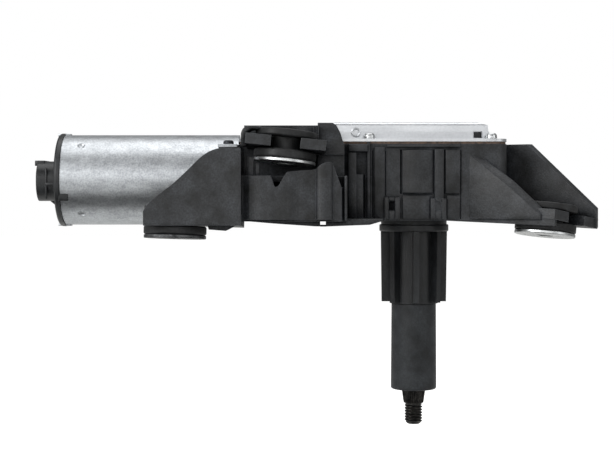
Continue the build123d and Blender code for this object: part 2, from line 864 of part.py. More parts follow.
with BuildPart() as commutator_sleeve:
    with BuildSketch(across_motor(commutator_front)):
        Circle(armature_shaft_dia / 2 + 1.2 - press_gap)
        Circle(armature_shaft_dia / 2 + press_gap, mode=Mode.SUBTRACT)
    extrude(amount=commutator_length + 1.2)
commutator_sleeve.part.label = "commutator_sleeve"
export_step(commutator_sleeve.part, "parts/commutator_sleeve.step")

# Armature core: stacked laminations with open slots
with BuildPart() as armature_core:
    with BuildSketch(across_motor(core_start)):
        Circle(core_dia / 2)
        with PolarLocations(core_dia / 2 - slot_depth / 2 - 1.2, core_slots):
            RectangleRounded(slot_depth, slot_width, slot_width / 2 - 0.2, mode=Mode.SUBTRACT)
        with PolarLocations(core_dia / 2, core_slots):
            Rectangle(4.0, slot_mouth, mode=Mode.SUBTRACT)
        Circle(armature_shaft_dia / 2 + press_gap, mode=Mode.SUBTRACT)
    extrude(amount=core_length)
armature_core.part.label = "armature_core"
export_step(armature_core.part, "parts/armature_core.step")

# Windings: wire in each slot and the end turns on both faces of the core
with BuildPart() as armature_windings:
    with BuildSketch(across_motor(core_start - winding_reach / 2)):
        with PolarLocations(core_dia / 2 - slot_depth / 2 - 1.2, core_slots):
            RectangleRounded(
                slot_depth - 2 * face_gap,
                slot_width - 2 * face_gap,
                slot_width / 2 - 0.4,
            )
    extrude(amount=core_length + winding_reach)
    for start in (core_start - winding_reach - face_gap, core_start + core_length + face_gap):
        with BuildSketch(across_motor(start)):
            Circle(winding_dia / 2)
            Circle(armature_shaft_dia / 2 + 1.0, mode=Mode.SUBTRACT)
        ring = extrude(amount=winding_reach)
        fillet(ring.edges().filter_by(GeomType.CIRCLE).group_by(SortBy.RADIUS)[-1], 2.4)
armature_windings.part.label = "armature_windings"
export_step(armature_windings.part, "parts/armature_windings.step")

# Worm wheel: moulded plastic with a web and hub
with BuildPart() as gear_wheel:
    with BuildSketch(Plane.XY.offset(wheel_bottom)):
        with Locations((wheel_x, wheel_y)):
            Circle(wheel_radius - tooth_root * worm_module)
        with Locations((wheel_x, wheel_y)):
            with PolarLocations(0, wheel_teeth, start_angle=270 + 180 / wheel_teeth):
                Polygon(*tooth_points(wheel_radius, worm_module, wheel_backlash), align=None)
    extrude(amount=wheel_thickness)
    for start, depth in ((wheel_bottom, (wheel_thickness - wheel_web) / 2), (wheel_top, -0.6)):
        with BuildSketch(Plane.XY.offset(start)):
            with Locations((wheel_x, wheel_y)):
                Circle(wheel_radius - 4.0)
                Circle(wheel_hub_dia / 2, mode=Mode.SUBTRACT)
        extrude(amount=depth, mode=Mode.SUBTRACT)
    with Locations((wheel_x, wheel_y, wheel_bottom)):
        Hole(axle_dia / 2 + running_gap)
gear_wheel.part.label = "gear_wheel"
export_step(gear_wheel.part, "parts/gear_wheel.step")

with BuildPart() as wheel_axle:
    with BuildSketch(Plane.XY.offset(1.0)):
        with Locations((wheel_x, wheel_y)):
            Circle(axle_dia / 2)
    extrude(amount=wheel_top - 0.8 - 1.0)
    chamfer(wheel_axle.faces().sort_by(Axis.Z)[-1].edges(), 0.6)
wheel_axle.part.label = "wheel_axle"
export_step(wheel_axle.part, "parts/wheel_axle.step")

# Crank pin: steel, pressed into the wheel; it stops below the lever's eye
with BuildPart() as crank_pin:
    with BuildSketch(Plane.XY.offset(wheel_top)):
        with Locations((wheel_x + crank_radius, wheel_y)):
            Circle(crank_pin_dia / 2)
    extrude(amount=lever_bottom - body_gap - wheel_top)
crank_pin.part.label = "crank_pin"
export_step(crank_pin.part, "parts/crank_pin.step")

# Park switch ring: brass track on the wheel with one gap
with BuildPart() as contact_ring:
    with BuildSketch(Plane.XY.offset(wheel_top - 0.6)):
        with Locations((wheel_x, wheel_y)):
            Circle(contact_ring_outer)
            Circle(contact_ring_inner, mode=Mode.SUBTRACT)
        with Locations((wheel_x - contact_ring_outer, wheel_y)):
            Rectangle(6.0, 5.0, mode=Mode.SUBTRACT)
    extrude(amount=contact_ring_thickness + 0.6)
contact_ring.part.label = "contact_ring"
export_step(contact_ring.part, "parts/contact_ring.step")

# Contact holder on the back wall with three spring fingers over the ring
holder_y = housing_back - housing_wall
finger_z = wheel_top + contact_ring_thickness + face_gap
with BuildPart() as contact_holder:
    with BuildSketch(Plane.XY.offset(finger_z + 0.4)):
        with Locations((wheel_x, holder_y)):
            Rectangle(16.0, 4.0, align=(Align.CENTER, Align.MAX))
    extrude(amount=4.0)
contact_holder.part.label = "contact_holder"
export_step(contact_holder.part, "parts/contact_holder.step")

with BuildPart() as contact_fingers:
    with BuildSketch(Plane.XY.offset(finger_z)):
        with Locations((wheel_x, holder_y)):
            with GridLocations(4.5, 0, 3, 1):
                Rectangle(1.6, holder_y - wheel_y - contact_ring_inner - 1.5, align=(Align.CENTER, Align.MAX))
    extrude(amount=0.4)
contact_fingers.part.label = "contact_fingers"
export_step(contact_fingers.part, "parts/contact_fingers.step")

# Sector lever: eye over the crank pin, arm and toothed sector on the output pinion
sector_centre = (sector_pin_x, sector_pin_y)
sector_step = 360 / sector_teeth
sector_tooth_count = 8
sector_first = 180 + link_rest - 1.5 * sector_step
sector_span = 42
sector_root_radius = sector_radius - tooth_root * linkage_module
lever_plane = Plane(origin=(sector_pin_x, sector_pin_y, lever_bottom))
with BuildPart() as sector_lever:
    with BuildSketch(lever_plane):
        with BuildLine():
            rim = CenterArc((0, 0), sector_root_radius, 270 - sector_span, 2 * sector_span)
            Polyline(rim @ 1, (lever_width / 2, 0), (-lever_width / 2, 0), rim @ 0)
        make_face()
        with PolarLocations(0, sector_tooth_count, sector_first, sector_tooth_count * sector_step):
            Polygon(*tooth_points(sector_radius, linkage_module, linkage_backlash), align=None)
        Circle(eye_radius + 1.0)
        with Locations((-lever_length / 2, 0)):
            Rectangle(lever_length, lever_width)
        with Locations((-lever_length, 0)):
            Circle(eye_radius)
        Circle(sector_pin_dia / 2 + running_gap, mode=Mode.SUBTRACT)
        with Locations((-lever_length, 0)):
            Circle(crank_pin_dia / 2 + running_gap, mode=Mode.SUBTRACT)
    extrude(amount=sector_thickness)
sector_lever.part.label = "sector_lever"
export_step(sector_lever.part, "parts/sector_lever.step")

# Link plate with its riveted sector pin
with BuildPart() as link_plate:
    with BuildSketch(Plane.XY.offset(link_bottom)):
        with Locations((sector_pin_x / 2, sector_pin_y / 2)):
            SlotCenterToCenter(link_length, link_width, rotation=link_rest)
        Circle(spigot_dia / 2 + running_gap, mode=Mode.SUBTRACT)
        with Locations(sector_centre):
            Circle(sector_pin_dia / 2 + press_gap, mode=Mode.SUBTRACT)
    extrude(amount=link_thickness)
link_plate.part.label = "link_plate"
export_step(link_plate.part, "parts/link_plate.step")

# Sector pin: riveted into the link plate, it carries the sector lever
with BuildPart() as sector_pin:
    with BuildSketch(Plane.XY.offset(lever_bottom - 0.2)):
        with Locations(sector_centre):
            Circle(sector_pin_dia / 2)
    extrude(amount=link_top + 0.6 - lever_bottom + 0.2)
    chamfer(sector_pin.faces().sort_by(Axis.Z)[-1].edges(), 0.4)
sector_pin.part.label = "sector_pin"
export_step(sector_pin.part, "parts/sector_pin.step")

# Wiper shaft: steel, with a spigot for the link, a splined cone and a threaded end
circlip_z = guide_bottom + circlip_thickness + 1.0
cone_bottom = cone_top - cone_length
shaft_end = -shaft_drop
with BuildPart() as wiper_shaft:
    with BuildSketch(Plane.XZ):
        with BuildLine():
            Polyline(
                (0, shaft_top),
                (spigot_dia / 2 - 0.4, shaft_top),
                (spigot_dia / 2, shaft_top - 0.4),
                (spigot_dia / 2, lever_top),
                (shaft_dia / 2, lever_top),
                (shaft_dia / 2, cone_top + 0.6),
                (shaft_dia / 2 - cone_relief, cone_top),
                (cone_bottom_dia / 2, cone_bottom),
                (relief_dia / 2, cone_bottom - 0.3),
                (relief_dia / 2, cone_bottom - relief_length),
                (thread_dia / 2, cone_bottom - relief_length),
                (thread_dia / 2, shaft_end + thread_chamfer),
                (thread_dia / 2 - thread_chamfer, shaft_end),
                (0, shaft_end),
                close=True,
            )
        make_face()
    revolve(axis=Axis.Z)
    with BuildSketch(Plane.XY.offset(circlip_z)):
        Circle(shaft_dia / 2 + 1)
        Circle(shaft_dia / 2 - circlip_width / 2, mode=Mode.SUBTRACT)
    extrude(amount=-circlip_thickness, mode=Mode.SUBTRACT)
wiper_shaft.part.label = "wiper_shaft"
export_step(wiper_shaft.part, "parts/wiper_shaft.step")

# Output pinion pressed on the shaft's top end
with BuildPart() as output_pinion:
    with BuildSketch(Plane.XY.offset(lever_bottom)):
        Circle(pinion_radius - tooth_root * linkage_module)
        with PolarLocations(0, pinion_teeth, start_angle=link_rest):
            Polygon(*tooth_points(pinion_radius, linkage_module, linkage_backlash), align=None)
        Circle(shaft_dia / 2 + press_gap, mode=Mode.SUBTRACT)
    extrude(amount=sector_thickness)
output_pinion.part.label = "output_pinion"
export_step(output_pinion.part, "parts/output_pinion.step")

# Thrust washer between the pinion and the guide tube
with BuildPart() as thrust_washer:
    with BuildSketch(Plane.XY.offset(guide_top + face_gap)):
        Circle(guide_outer / 2 - 1.0)
        Circle(shaft_dia / 2 + running_gap, mode=Mode.SUBTRACT)
    extrude(amount=lever_bottom - guide_top - 2 * face_gap)
thrust_washer.part.label = "thrust_washer"
export_step(thrust_washer.part, "parts/thrust_washer.step")

# Spring clip on the spigot above the link
with BuildPart() as link_clip:
    with BuildSketch(Plane.XY.offset(link_top + face_gap)):
        Circle(spigot_dia / 2 + 2.0)
        Circle(spigot_dia / 2 + press_gap, mode=Mode.SUBTRACT)
        with Locations((spigot_dia / 2 + 1, 0)):
            Rectangle(4.0, 2.4, mode=Mode.SUBTRACT)
    extrude(amount=0.7)
link_clip.part.label = "link_clip"
export_step(link_clip.part, "parts/link_clip.step")

# Circlip that holds the shaft up against the lower bush
with BuildPart() as shaft_circlip:
    with BuildSketch(Plane.XY.offset(circlip_z - circlip_thickness + press_gap)):
        Circle(shaft_dia / 2 + circlip_width / 2)
        Circle(shaft_dia / 2 - circlip_width / 2 + press_gap, mode=Mode.SUBTRACT)
        with Locations((shaft_dia / 2, 0)):
            Rectangle(4.0, 3.0, mode=Mode.SUBTRACT)
    extrude(amount=circlip_thickness - 2 * press_gap)
shaft_circlip.part.label = "shaft_circlip"
export_step(shaft_circlip.part, "parts/shaft_circlip.step")

# Guide tube: steel tube pressed through the housing floor, flanged inside
lower_bush_bottom = circlip_z + face_gap
with BuildPart() as guide_tube:
    with BuildSketch(Plane.XY.offset(guide_bottom)):
        Circle(guide_outer / 2)
        Circle(guide_bore / 2 + press_gap, mode=Mode.SUBTRACT)
    extrude(amount=guide_top - guide_bottom)
guide_tube.part.label = "guide_tube"
export_step(guide_tube.part, "parts/guide_tube.step")

# Two sintered bushes in the guide tube
for bush_name, bush_start in (
    ("shaft_bush_upper", guide_top - bush_length),
    ("shaft_bush_lower", lower_bush_bottom),
):
    with BuildPart() as shaft_bush:
        with BuildSketch(Plane.XY.offset(bush_start)):
            Circle(guide_bore / 2)
            Circle(shaft_dia / 2 + running_gap, mode=Mode.SUBTRACT)
        extrude(amount=bush_length)
    shaft_bush.part.label = bush_name
    export_step(shaft_bush.part, f"parts/{bush_name}.step")

# Shaft seal: rubber ring in the sleeve's mouth
with BuildPart() as shaft_seal:
    with BuildSketch(Plane.XY.offset(sleeve_bottom + 0.4)):
        Circle(guide_outer / 2)
        Circle(shaft_dia / 2 + running_gap, mode=Mode.SUBTRACT)
    extrude(amount=guide_bottom - face_gap - sleeve_bottom - 0.4)
shaft_seal.part.label = "shaft_seal"
export_step(shaft_seal.part, "parts/shaft_seal.step")

# Ribbed collar: moulded tube under the housing with a ring and upright ribs
ring_bottom = -collar_neck_height - collar_ring_height
with BuildPart() as ribbed_collar:
    with BuildSketch(Plane.XY.offset(-face_gap)):
        Circle(collar_neck_dia / 2)
    extrude(amount=-collar_neck_height)
    with BuildSketch(Plane.XY.offset(-collar_neck_height)):
        Circle(collar_ring_dia / 2)
    extrude(amount=-collar_ring_height)
    fillet(ribbed_collar.edges().filter_by(GeomType.CIRCLE).group_by(SortBy.RADIUS)[-1], 0.5)
    with BuildSketch(Plane.XY.offset(ring_bottom)):
        Circle(collar_core_dia / 2)
    extrude(amount=-(collar_height + ring_bottom))
    with BuildSketch(Plane.XZ):
        with BuildLine():
            Polyline(
                (collar_core_dia / 2 - 0.5, ring_bottom),
                (collar_rib_top_dia / 2, ring_bottom),
                (collar_rib_bottom_dia / 2, -collar_height + collar_rib_lift),
                (collar_core_dia / 2 - 0.5, -collar_height + collar_rib_lift),
                close=True,
            )
        make_face()
    rib = extrude(amount=collar_rib_thickness / 2, both=True, mode=Mode.PRIVATE)
    with PolarLocations(0, collar_rib_count):
        add(rib)
    with Locations((0, 0, 0)):
        Cylinder(guide_outer / 2 + press_gap, 200, mode=Mode.SUBTRACT)
ribbed_collar.part.label = "ribbed_collar"
export_step(ribbed_collar.part, "parts/ribbed_collar.step")

# Smooth sleeve below the collar
with BuildPart() as shaft_sleeve:
    with BuildSketch(Plane.XY.offset(sleeve_top)):
        Circle(sleeve_top_dia / 2)
    with BuildSketch(Plane.XY.offset(sleeve_bottom)):
        Circle(sleeve_bottom_dia / 2)
    loft()
    fillet(shaft_sleeve.faces().sort_by(Axis.Z)[0].edges(), sleeve_edge_radius)
    with Locations((0, 0, 0)):
        Cylinder(guide_outer / 2 + press_gap, 200, mode=Mode.SUBTRACT)
shaft_sleeve.part.label = "shaft_sleeve"
export_step(shaft_sleeve.part, "parts/shaft_sleeve.step")

# Grommets and mounting bushes, one of each on every arm
flange_radius = grommet_dia / 2
groove_half = grommet_groove / 2
stack_top = groove_half + grommet_upper
stack_bottom = -groove_half - grommet_lower
for side_name, pad in pads.items():
    with BuildPart() as grommet:
        with BuildSketch(pad.offset(stack_bottom)):
            Circle(flange_radius)
        extrude(amount=grommet_lower)
        with BuildSketch(pad.offset(groove_half)):
            Circle(flange_radius)
        extrude(amount=grommet_upper)
        fillet(grommet.edges().filter_by(GeomType.CIRCLE), grommet_edge_radius)
        with BuildSketch(pad.offset(-groove_half)):
            Circle(grommet_waist_dia / 2)
        extrude(amount=grommet_groove)
        with BuildSketch(pad.offset(stack_bottom)):
            Circle(bush_dia / 2 + press_gap)
        extrude(amount=stack_top - stack_bottom, mode=Mode.SUBTRACT)
    grommet.part.label = f"{side_name}_grommet"
    export_step(grommet.part, f"parts/{side_name}_grommet.step")

    with BuildPart() as mount_bush:
        with BuildSketch(pad.offset(stack_bottom - washer_thickness)):
            Circle(washer_dia / 2)
        extrude(amount=washer_thickness - face_gap)
        chamfer(mount_bush.edges().filter_by(GeomType.CIRCLE), 0.25)
        with BuildSketch(pad.offset(stack_bottom - face_gap)):
            Circle(bush_dia / 2)
        extrude(amount=stack_top + 0.4 - stack_bottom)
        with BuildSketch(pad.offset(stack_bottom - washer_thickness)):
            Circle(bush_bore / 2)
        extrude(amount=stack_top + 4 - stack_bottom, mode=Mode.SUBTRACT)
    mount_bush.part.label = f"{side_name}_bush"
    export_step(mount_bush.part, f"parts/{side_name}_bush.step")

# Two screws that hold the can's ears
with BuildPart() as ear_screws:
    with BuildSketch(Plane.XY.offset(ear_z + ear_thickness)):
        with Locations(*[(housing_left - ear_width / 2, y) for y in ear_screw_y]):
            Circle(screw_head_dia / 2)
    extrude(amount=screw_head_height)
    fillet(ear_screws.faces().group_by(Axis.Z)[-1].edges(), 1.2)
    with BuildSketch(Plane.XY.offset(ear_z + ear_thickness)):
        with Locations(*[(housing_left - ear_width / 2, y) for y in ear_screw_y]):
            Circle(screw_dia / 2)
    extrude(amount=-screw_length)
ear_screws.part.label = "ear_screws"
export_step(ear_screws.part, "parts/ear_screws.step")
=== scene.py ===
import json
import math

import bmesh
import bpy
from mathutils import Matrix, Vector


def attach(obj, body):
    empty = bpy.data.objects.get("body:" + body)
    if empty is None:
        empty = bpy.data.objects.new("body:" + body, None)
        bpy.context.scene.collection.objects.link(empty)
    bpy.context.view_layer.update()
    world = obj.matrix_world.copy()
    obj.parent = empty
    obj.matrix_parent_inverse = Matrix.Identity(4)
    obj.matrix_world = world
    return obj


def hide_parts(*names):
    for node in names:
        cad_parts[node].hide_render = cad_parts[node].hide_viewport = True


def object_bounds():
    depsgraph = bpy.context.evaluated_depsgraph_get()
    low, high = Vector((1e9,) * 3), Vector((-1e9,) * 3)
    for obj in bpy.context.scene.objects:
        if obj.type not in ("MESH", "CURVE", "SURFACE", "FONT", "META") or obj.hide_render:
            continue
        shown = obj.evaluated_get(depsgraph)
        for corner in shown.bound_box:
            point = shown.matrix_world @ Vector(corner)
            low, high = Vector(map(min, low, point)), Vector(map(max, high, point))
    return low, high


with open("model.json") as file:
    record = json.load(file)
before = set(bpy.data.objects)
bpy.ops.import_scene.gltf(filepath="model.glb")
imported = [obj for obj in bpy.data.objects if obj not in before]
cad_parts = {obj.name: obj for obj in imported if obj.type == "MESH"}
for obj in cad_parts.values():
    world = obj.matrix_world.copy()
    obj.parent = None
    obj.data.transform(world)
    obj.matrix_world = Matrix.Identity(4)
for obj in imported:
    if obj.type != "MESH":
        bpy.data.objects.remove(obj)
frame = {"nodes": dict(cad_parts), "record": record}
cad_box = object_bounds()
MM = 0.001

# Camera: the photograph looks square at the front from a little above the floor of the gear
# housing. The distance is the one at which the wiper shaft's M8 end has its size in the picture.
IMAGE_WIDTH = 614
FOCAL_PIXELS = 1409
SENSOR = 36.0
EYE = Vector((-47, -620, 9.5))
PITCH = 1.32
camera_data = bpy.data.cameras.new("camera")
camera_data.sensor_width = SENSOR
camera_data.lens = FOCAL_PIXELS / IMAGE_WIDTH * SENSOR
camera_data.clip_start = 10 * MM
camera = bpy.data.objects.new("camera", camera_data)
camera.location = EYE * MM
camera.rotation_euler = (math.radians(90 - PITCH), 0, 0)
bpy.context.scene.collection.objects.link(camera)
bpy.context.scene.camera = camera


# Studio: an even white room with soft lamps left, right, in front and above. A black card below
# the camera, seen only in reflections, draws the dark band along the lower half of the can.
def linear(code):
    """Turns an sRGB hex colour such as "1c1d1f" into the linear colour that a shader takes."""
    parts = [int(code[at:at + 2], 16) / 255 for at in (0, 2, 4)]
    return [c / 12.92 if c <= 0.04045 else ((c + 0.055) / 1.055) ** 2.4 for c in parts] + [1.0]


def add_node(tree, kind, links=None, **settings):
    """Adds one shader node. settings are its properties or sockets, links are socket to source."""
    made = tree.nodes.new(kind)
    for name, value in settings.items():
        if name in made.inputs:
            made.inputs[name].default_value = value
        elif name.replace("_", " ") in made.inputs:
            made.inputs[name.replace("_", " ")].default_value = value
        else:
            setattr(made, name, value)
    for name, source in (links or {}).items():
        tree.links.new(source, made.inputs[name])
    return made


WHITE = linear("ffffff")
ROOM_LIGHT = 0.34
world = bpy.data.worlds.new("white room")
bpy.context.scene.world = world
world.use_nodes = True
room = world.node_tree
room.nodes.clear()
ray = add_node(room, "ShaderNodeLightPath")
seen_white = add_node(
    room,
    "ShaderNodeMath",
    {0: ray.outputs["Is Camera Ray"], 1: ray.outputs["Is Transmission Ray"]},
    operation="MAXIMUM",
)
dim = add_node(room, "ShaderNodeBackground", Color=WHITE, Strength=ROOM_LIGHT)
white = add_node(room, "ShaderNodeBackground", Color=WHITE, Strength=1.0)
walls = add_node(
    room,
    "ShaderNodeMixShader",
    {0: seen_white.outputs[0], 1: dim.outputs[0], 2: white.outputs[0]},
)
add_node(room, "ShaderNodeOutputWorld", {"Surface": walls.outputs[0]})
AIM = Vector((-0.045, 0.0, -0.02))


def soft_lamp(name, place, size, power):
    """A soft lamp of a width and height in metres and a power in watts, aimed at the object."""
    data = bpy.data.lights.new(name, "AREA")
    data.shape = "RECTANGLE"
    data.size, data.size_y = size
    data.energy = power
    lamp = bpy.data.objects.new(name, data)
    lamp.location = place
    lamp.rotation_euler = (AIM - Vector(place)).to_track_quat("-Z", "Y").to_euler()
    bpy.context.scene.collection.objects.link(lamp)


soft_lamp("left softbox", place=(-0.65, -0.50, 0.30), size=(0.5, 0.5), power=5.6)
soft_lamp("right softbox", place=(0.60, -0.45, 0.25), size=(0.4, 0.5), power=1.6)
soft_lamp("front softbox", place=(-0.10, -0.95, 0.22), size=(1.1, 0.36), power=2.6)
soft_lamp("top softbox", place=(-0.05, 0.05, 0.80), size=(0.9, 0.7), power=5.6)
MATT = 0.9


def flat_sheet(name, place, width, depth, colour):
    """A level, matt sheet of the studio in its own plain paint."""
    build = bmesh.new()
    bmesh.ops.create_grid(build, x_segments=1, y_segments=1, size=0.5)
    bmesh.ops.scale(build, vec=(width, depth, 1), verts=build.verts)
    bmesh.ops.translate(build, vec=place, verts=build.verts)
    data = bpy.data.meshes.new(name)
    build.to_mesh(data)
    build.free()
    sheet = bpy.data.objects.new(name, data)
    bpy.context.scene.collection.objects.link(sheet)
    paint = bpy.data.materials.new(name + " paint")
    paint.use_nodes = True
    shader = paint.node_tree.nodes["Principled BSDF"]
    shader.inputs["Base Color"].default_value = linear(colour)
    shader.inputs["Roughness"].default_value = MATT
    data.materials.append(paint)
    return sheet


card = flat_sheet("black card", (-0.10, -0.180, -0.150), 0.70, 0.26, "060606")
card.visible_camera = False
card.visible_diffuse = False
card.visible_shadow = False

# Floor: matt white paper well below the shaft's end, a little brighter for the camera, so that
# it runs into the white room without a horizon and keeps only the shadow. Clear from below.
FLOOR_DROP = 80 * MM
FLOOR_SIZE = 12.0
FLOOR_GLOW = 0.72
floor = flat_sheet("floor", (0, 0, cad_box[0].z - FLOOR_DROP), FLOOR_SIZE, FLOOR_SIZE, "f4f4f2")
paper = floor.data.materials[0].node_tree
paper_shader = paper.nodes["Principled BSDF"]
paper_shader.inputs["Emission Color"].default_value = WHITE
paper_ray = add_node(paper, "ShaderNodeLightPath")
glow = add_node(
    paper,
    "ShaderNodeMapRange",
    {"Value": paper_ray.outputs["Is Camera Ray"]},
    To_Min=0.0,
    To_Max=FLOOR_GLOW,
)
paper.links.new(glow.outputs["Result"], paper_shader.inputs["Emission Strength"])
paper_side = add_node(paper, "ShaderNodeNewGeometry")
clear = add_node(paper, "ShaderNodeBsdfTransparent")
one_sided = add_node(
    paper,
    "ShaderNodeMixShader",
    {
        0: paper_side.outputs["Backfacing"],
        1: paper_shader.outputs["BSDF"],
        2: clear.outputs["BSDF"],
    },
)
paper.links.new(one_sided.outputs["Shader"], paper.nodes["Material Output"].inputs["Surface"])


# Gear housing: one injection moulding in black glass-filled nylon, with its three arms. The
# spark-eroded mould gives it a grain that breaks highlights up. Real grain is too fine to show
# in the render, so all grain in this file is drawn coarser, at 0.25 to 0.8 mm.
def new_material(name, metallic=0.0, specular=0.5, roughness=0.5):
    """A material with its Principled shader and a node that gives object coordinates."""
    made = bpy.data.materials.new(name)
    made.use_nodes = True
    shader = made.node_tree.nodes["Principled BSDF"]
    shader.inputs["Metallic"].default_value = metallic
    shader.inputs["Specular IOR Level"].default_value = specular
    shader.inputs["Roughness"].default_value = roughness
    add_node(made.node_tree, "ShaderNodeTexCoord", name="place")
    return made


def parts_of(material):
    """A material's tree, its Principled shader and its object coordinates."""
    tree = material.node_tree
    return tree, tree.nodes["Principled BSDF"], tree.nodes["place"].outputs["Object"]


def grain(material, size, height, stretch=(1, 1, 1)):
    """Fine surface grain as bump, of a real size and height in millimetres."""
    tree, shader, place = parts_of(material)
    turned_place = add_node(tree, "ShaderNodeMapping", {"Vector": place}, Scale=stretch)
    specks = add_node(
        tree,
        "ShaderNodeTexNoise",
        {"Vector": turned_place.outputs["Vector"]},
        Scale=1 / (size * MM),
        Detail=3.0,
    )
    bump = add_node(
        tree,
        "ShaderNodeBump",
        {"Height": specks.outputs["Fac"]},
        Strength=1.0,
        Distance=height * MM,
    )
    tree.links.new(bump.outputs["Normal"], shader.inputs["Normal"])
    return bump


NOISE_LOW = 0.3
NOISE_HIGH = 0.7


def sheen(material, size, low, high, stretch=(1, 1, 1)):
    """Lets the roughness wander between low and high over patches of a size in millimetres."""
    tree, shader, place = parts_of(material)
    turned_place = add_node(tree, "ShaderNodeMapping", {"Vector": place}, Scale=stretch)
    patches = add_node(
        tree,
        "ShaderNodeTexNoise",
        {"Vector": turned_place.outputs["Vector"]},
        Scale=1 / (size * MM),
        Detail=4.0,
    )
    spread = add_node(
        tree,
        "ShaderNodeMapRange",
        {"Value": patches.outputs["Fac"]},
        From_Min=NOISE_LOW,
        From_Max=NOISE_HIGH,
        To_Min=low,
        To_Max=high,
    )
    tree.links.new(spread.outputs["Result"], shader.inputs["Roughness"])


def mottle(material, size, dark, pale, fine, stretch=(1, 1, 1), contrast=0.28):
    """Colour from dark to pale in patches, with fine specks on top, both sized in millimetres."""
    tree, shader, place = parts_of(material)
    turned_place = add_node(tree, "ShaderNodeMapping", {"Vector": place}, Scale=stretch)
    patches = add_node(
        tree,
        "ShaderNodeTexNoise",
        {"Vector": turned_place.outputs["Vector"]},
        Scale=1 / (size * MM),
        Detail=6.0,
        Roughness=0.6,
    )
    ramp = add_node(tree, "ShaderNodeValToRGB", {"Fac": patches.outputs["Fac"]})
    for stop, position, colour in zip(ramp.color_ramp.elements, (0.35, 0.68), (dark, pale)):
        stop.position = position
        stop.color = linear(colour)
    specks = add_node(
        tree, "ShaderNodeTexNoise", {"Vector": place}, Scale=1 / (fine * MM), Detail=2.0
    )
    shade = add_node(
        tree,
        "ShaderNodeMapRange",
        {"Value": specks.outputs["Fac"]},
        From_Min=NOISE_LOW,
        From_Max=NOISE_HIGH,
        To_Min=1 - contrast,
        To_Max=1 + contrast,
    )
    speckled = add_node(
        tree,
        "ShaderNodeVectorMath",
        {0: ramp.outputs["Color"], 1: shade.outputs["Result"]},
        operation="MULTIPLY",
    )
    tree.links.new(speckled.outputs["Vector"], shader.inputs["Base Color"])
    return speckled


# Glass fibres near the surface leave grey flow clouds, handling has rubbed the convex edges
# paler, and the crevices get a weaker reflection as painted shade. The export drops a linked
# specular level, so the socket has an even one of its own too.
nylon = new_material("glass-filled nylon", specular=0.28)
nylon_bump = grain(nylon, size=0.5, height=0.09)
sheen(nylon, size=14, low=0.36, high=0.58)
nylon_clouds = mottle(nylon, size=9, dark="0b0c0d", pale="26282b", fine=0.75, contrast=0.45)
EDGE_RADIUS = 0.35 * MM
PAINTED_SHADE_REACH = 6 * MM
nylon_tree = nylon.node_tree
nylon_shader = nylon_tree.nodes["Principled BSDF"]
round_edges = add_node(nylon_tree, "ShaderNodeBevel", Radius=EDGE_RADIUS, samples=6)
nylon_tree.links.new(round_edges.outputs["Normal"], nylon_bump.inputs["Normal"])
surface = add_node(nylon_tree, "ShaderNodeNewGeometry")
facing = add_node(
    nylon_tree,
    "ShaderNodeVectorMath",
    {0: round_edges.outputs["Normal"], 1: surface.outputs["Normal"]},
    operation="DOT_PRODUCT",
)
rubbed = add_node(
    nylon_tree,
    "ShaderNodeMapRange",
    {"Value": facing.outputs["Value"]},
    From_Min=0.99,
    From_Max=0.80,
    To_Min=0.0,
    To_Max=0.55,
)
paler = add_node(
    nylon_tree,
    "ShaderNodeMix",
    {0: rubbed.outputs["Result"], 6: nylon_clouds.outputs["Vector"]},
    data_type="RGBA",
)
paler.inputs[7].default_value = linear("5a5d61")
nylon_tree.links.new(paler.outputs[2], nylon_shader.inputs["Base Color"])
# Painted shade: ambient occlusion weakens the reflection in crevices and grooves, standing in for
# their shadow.
crevice = add_node(nylon_tree, "ShaderNodeAmbientOcclusion", Distance=PAINTED_SHADE_REACH, samples=6)
painted_crevice_shade = add_node(
    nylon_tree,
    "ShaderNodeMapRange",
    {"Value": crevice.outputs["AO"]},
    From_Min=0.35,
    From_Max=1.0,
    To_Min=0.02,
    To_Max=0.34,
)
nylon_tree.links.new(painted_crevice_shade.outputs["Result"], nylon_shader.inputs["Specular IOR Level"])

# Where the picture's centre column and the row of the camera's own height lie in the photograph
LEVEL_COLUMN = 307
LEVEL_ROW = 198


def seen_at(column, row, depth):
    """Where a spot of the picture lies on the upright plane Y = depth: X and Z in millimetres."""
    scale = (depth - EYE.y) / FOCAL_PIXELS
    return (EYE.x + (column - LEVEL_COLUMN) * scale, EYE.z + (LEVEL_ROW - row) * scale)


def in_picture(corners, depth):
    """Corners given in the picture, brought on to the upright plane Y = depth."""
    return [seen_at(column, row, depth) for column, row in corners]


def photo_box(box, depth):
    """An upright rectangle on the plane Y = depth, from left, top, right, bottom in the picture."""
    left, top, right, bottom = box
    return in_picture([(left, bottom), (right, bottom), (right, top), (left, top)], depth)


def join_rings(build, rings):
    """A closed skin over rings of as many spots each, in millimetres."""
    levels = [[build.verts.new(Vector(spot) * MM) for spot in ring] for ring in rings]
    for first, second in zip(levels, levels[1:]):
        for at in range(len(first)):
            after = (at + 1) % len(first)
            build.faces.new([first[after], first[at], second[at], second[after]])
    build.faces.new(levels[0])
    build.faces.new(list(reversed(levels[-1])))


def prism(build, outline, axis, start, end, far=None, lay=None):
    """Adds a prism in millimetres: outline in X and Z along Y, or in Y and Z along X.

    far is its outline at the end, where that differs, and lay turns and moves the whole."""
    rings = []
    for along, corners in ((start, outline), (end, far or outline)):
        ring = [Vector((along, a, b) if axis == "X" else (a, along, b)) for a, b in corners]
        rings.append([lay @ spot for spot in ring] if lay else ring)
    join_rings(build, rings)


SHARP_ANGLE = 35
ALL_SMOOTH = 180
FLAT_ANGLE = math.radians(0.05)
WELD_REACH = 0.002 * MM


def mark_edges(build, sharp_angle=SHARP_ANGLE):
    """Smooth shading all over, broken at edges sharper than an angle in degrees."""
    for face in build.faces:
        face.smooth = True
    for edge in build.edges:
        if len(edge.link_faces) == 2:
            edge.smooth = edge.calc_face_angle(0) < math.radians(sharp_angle)


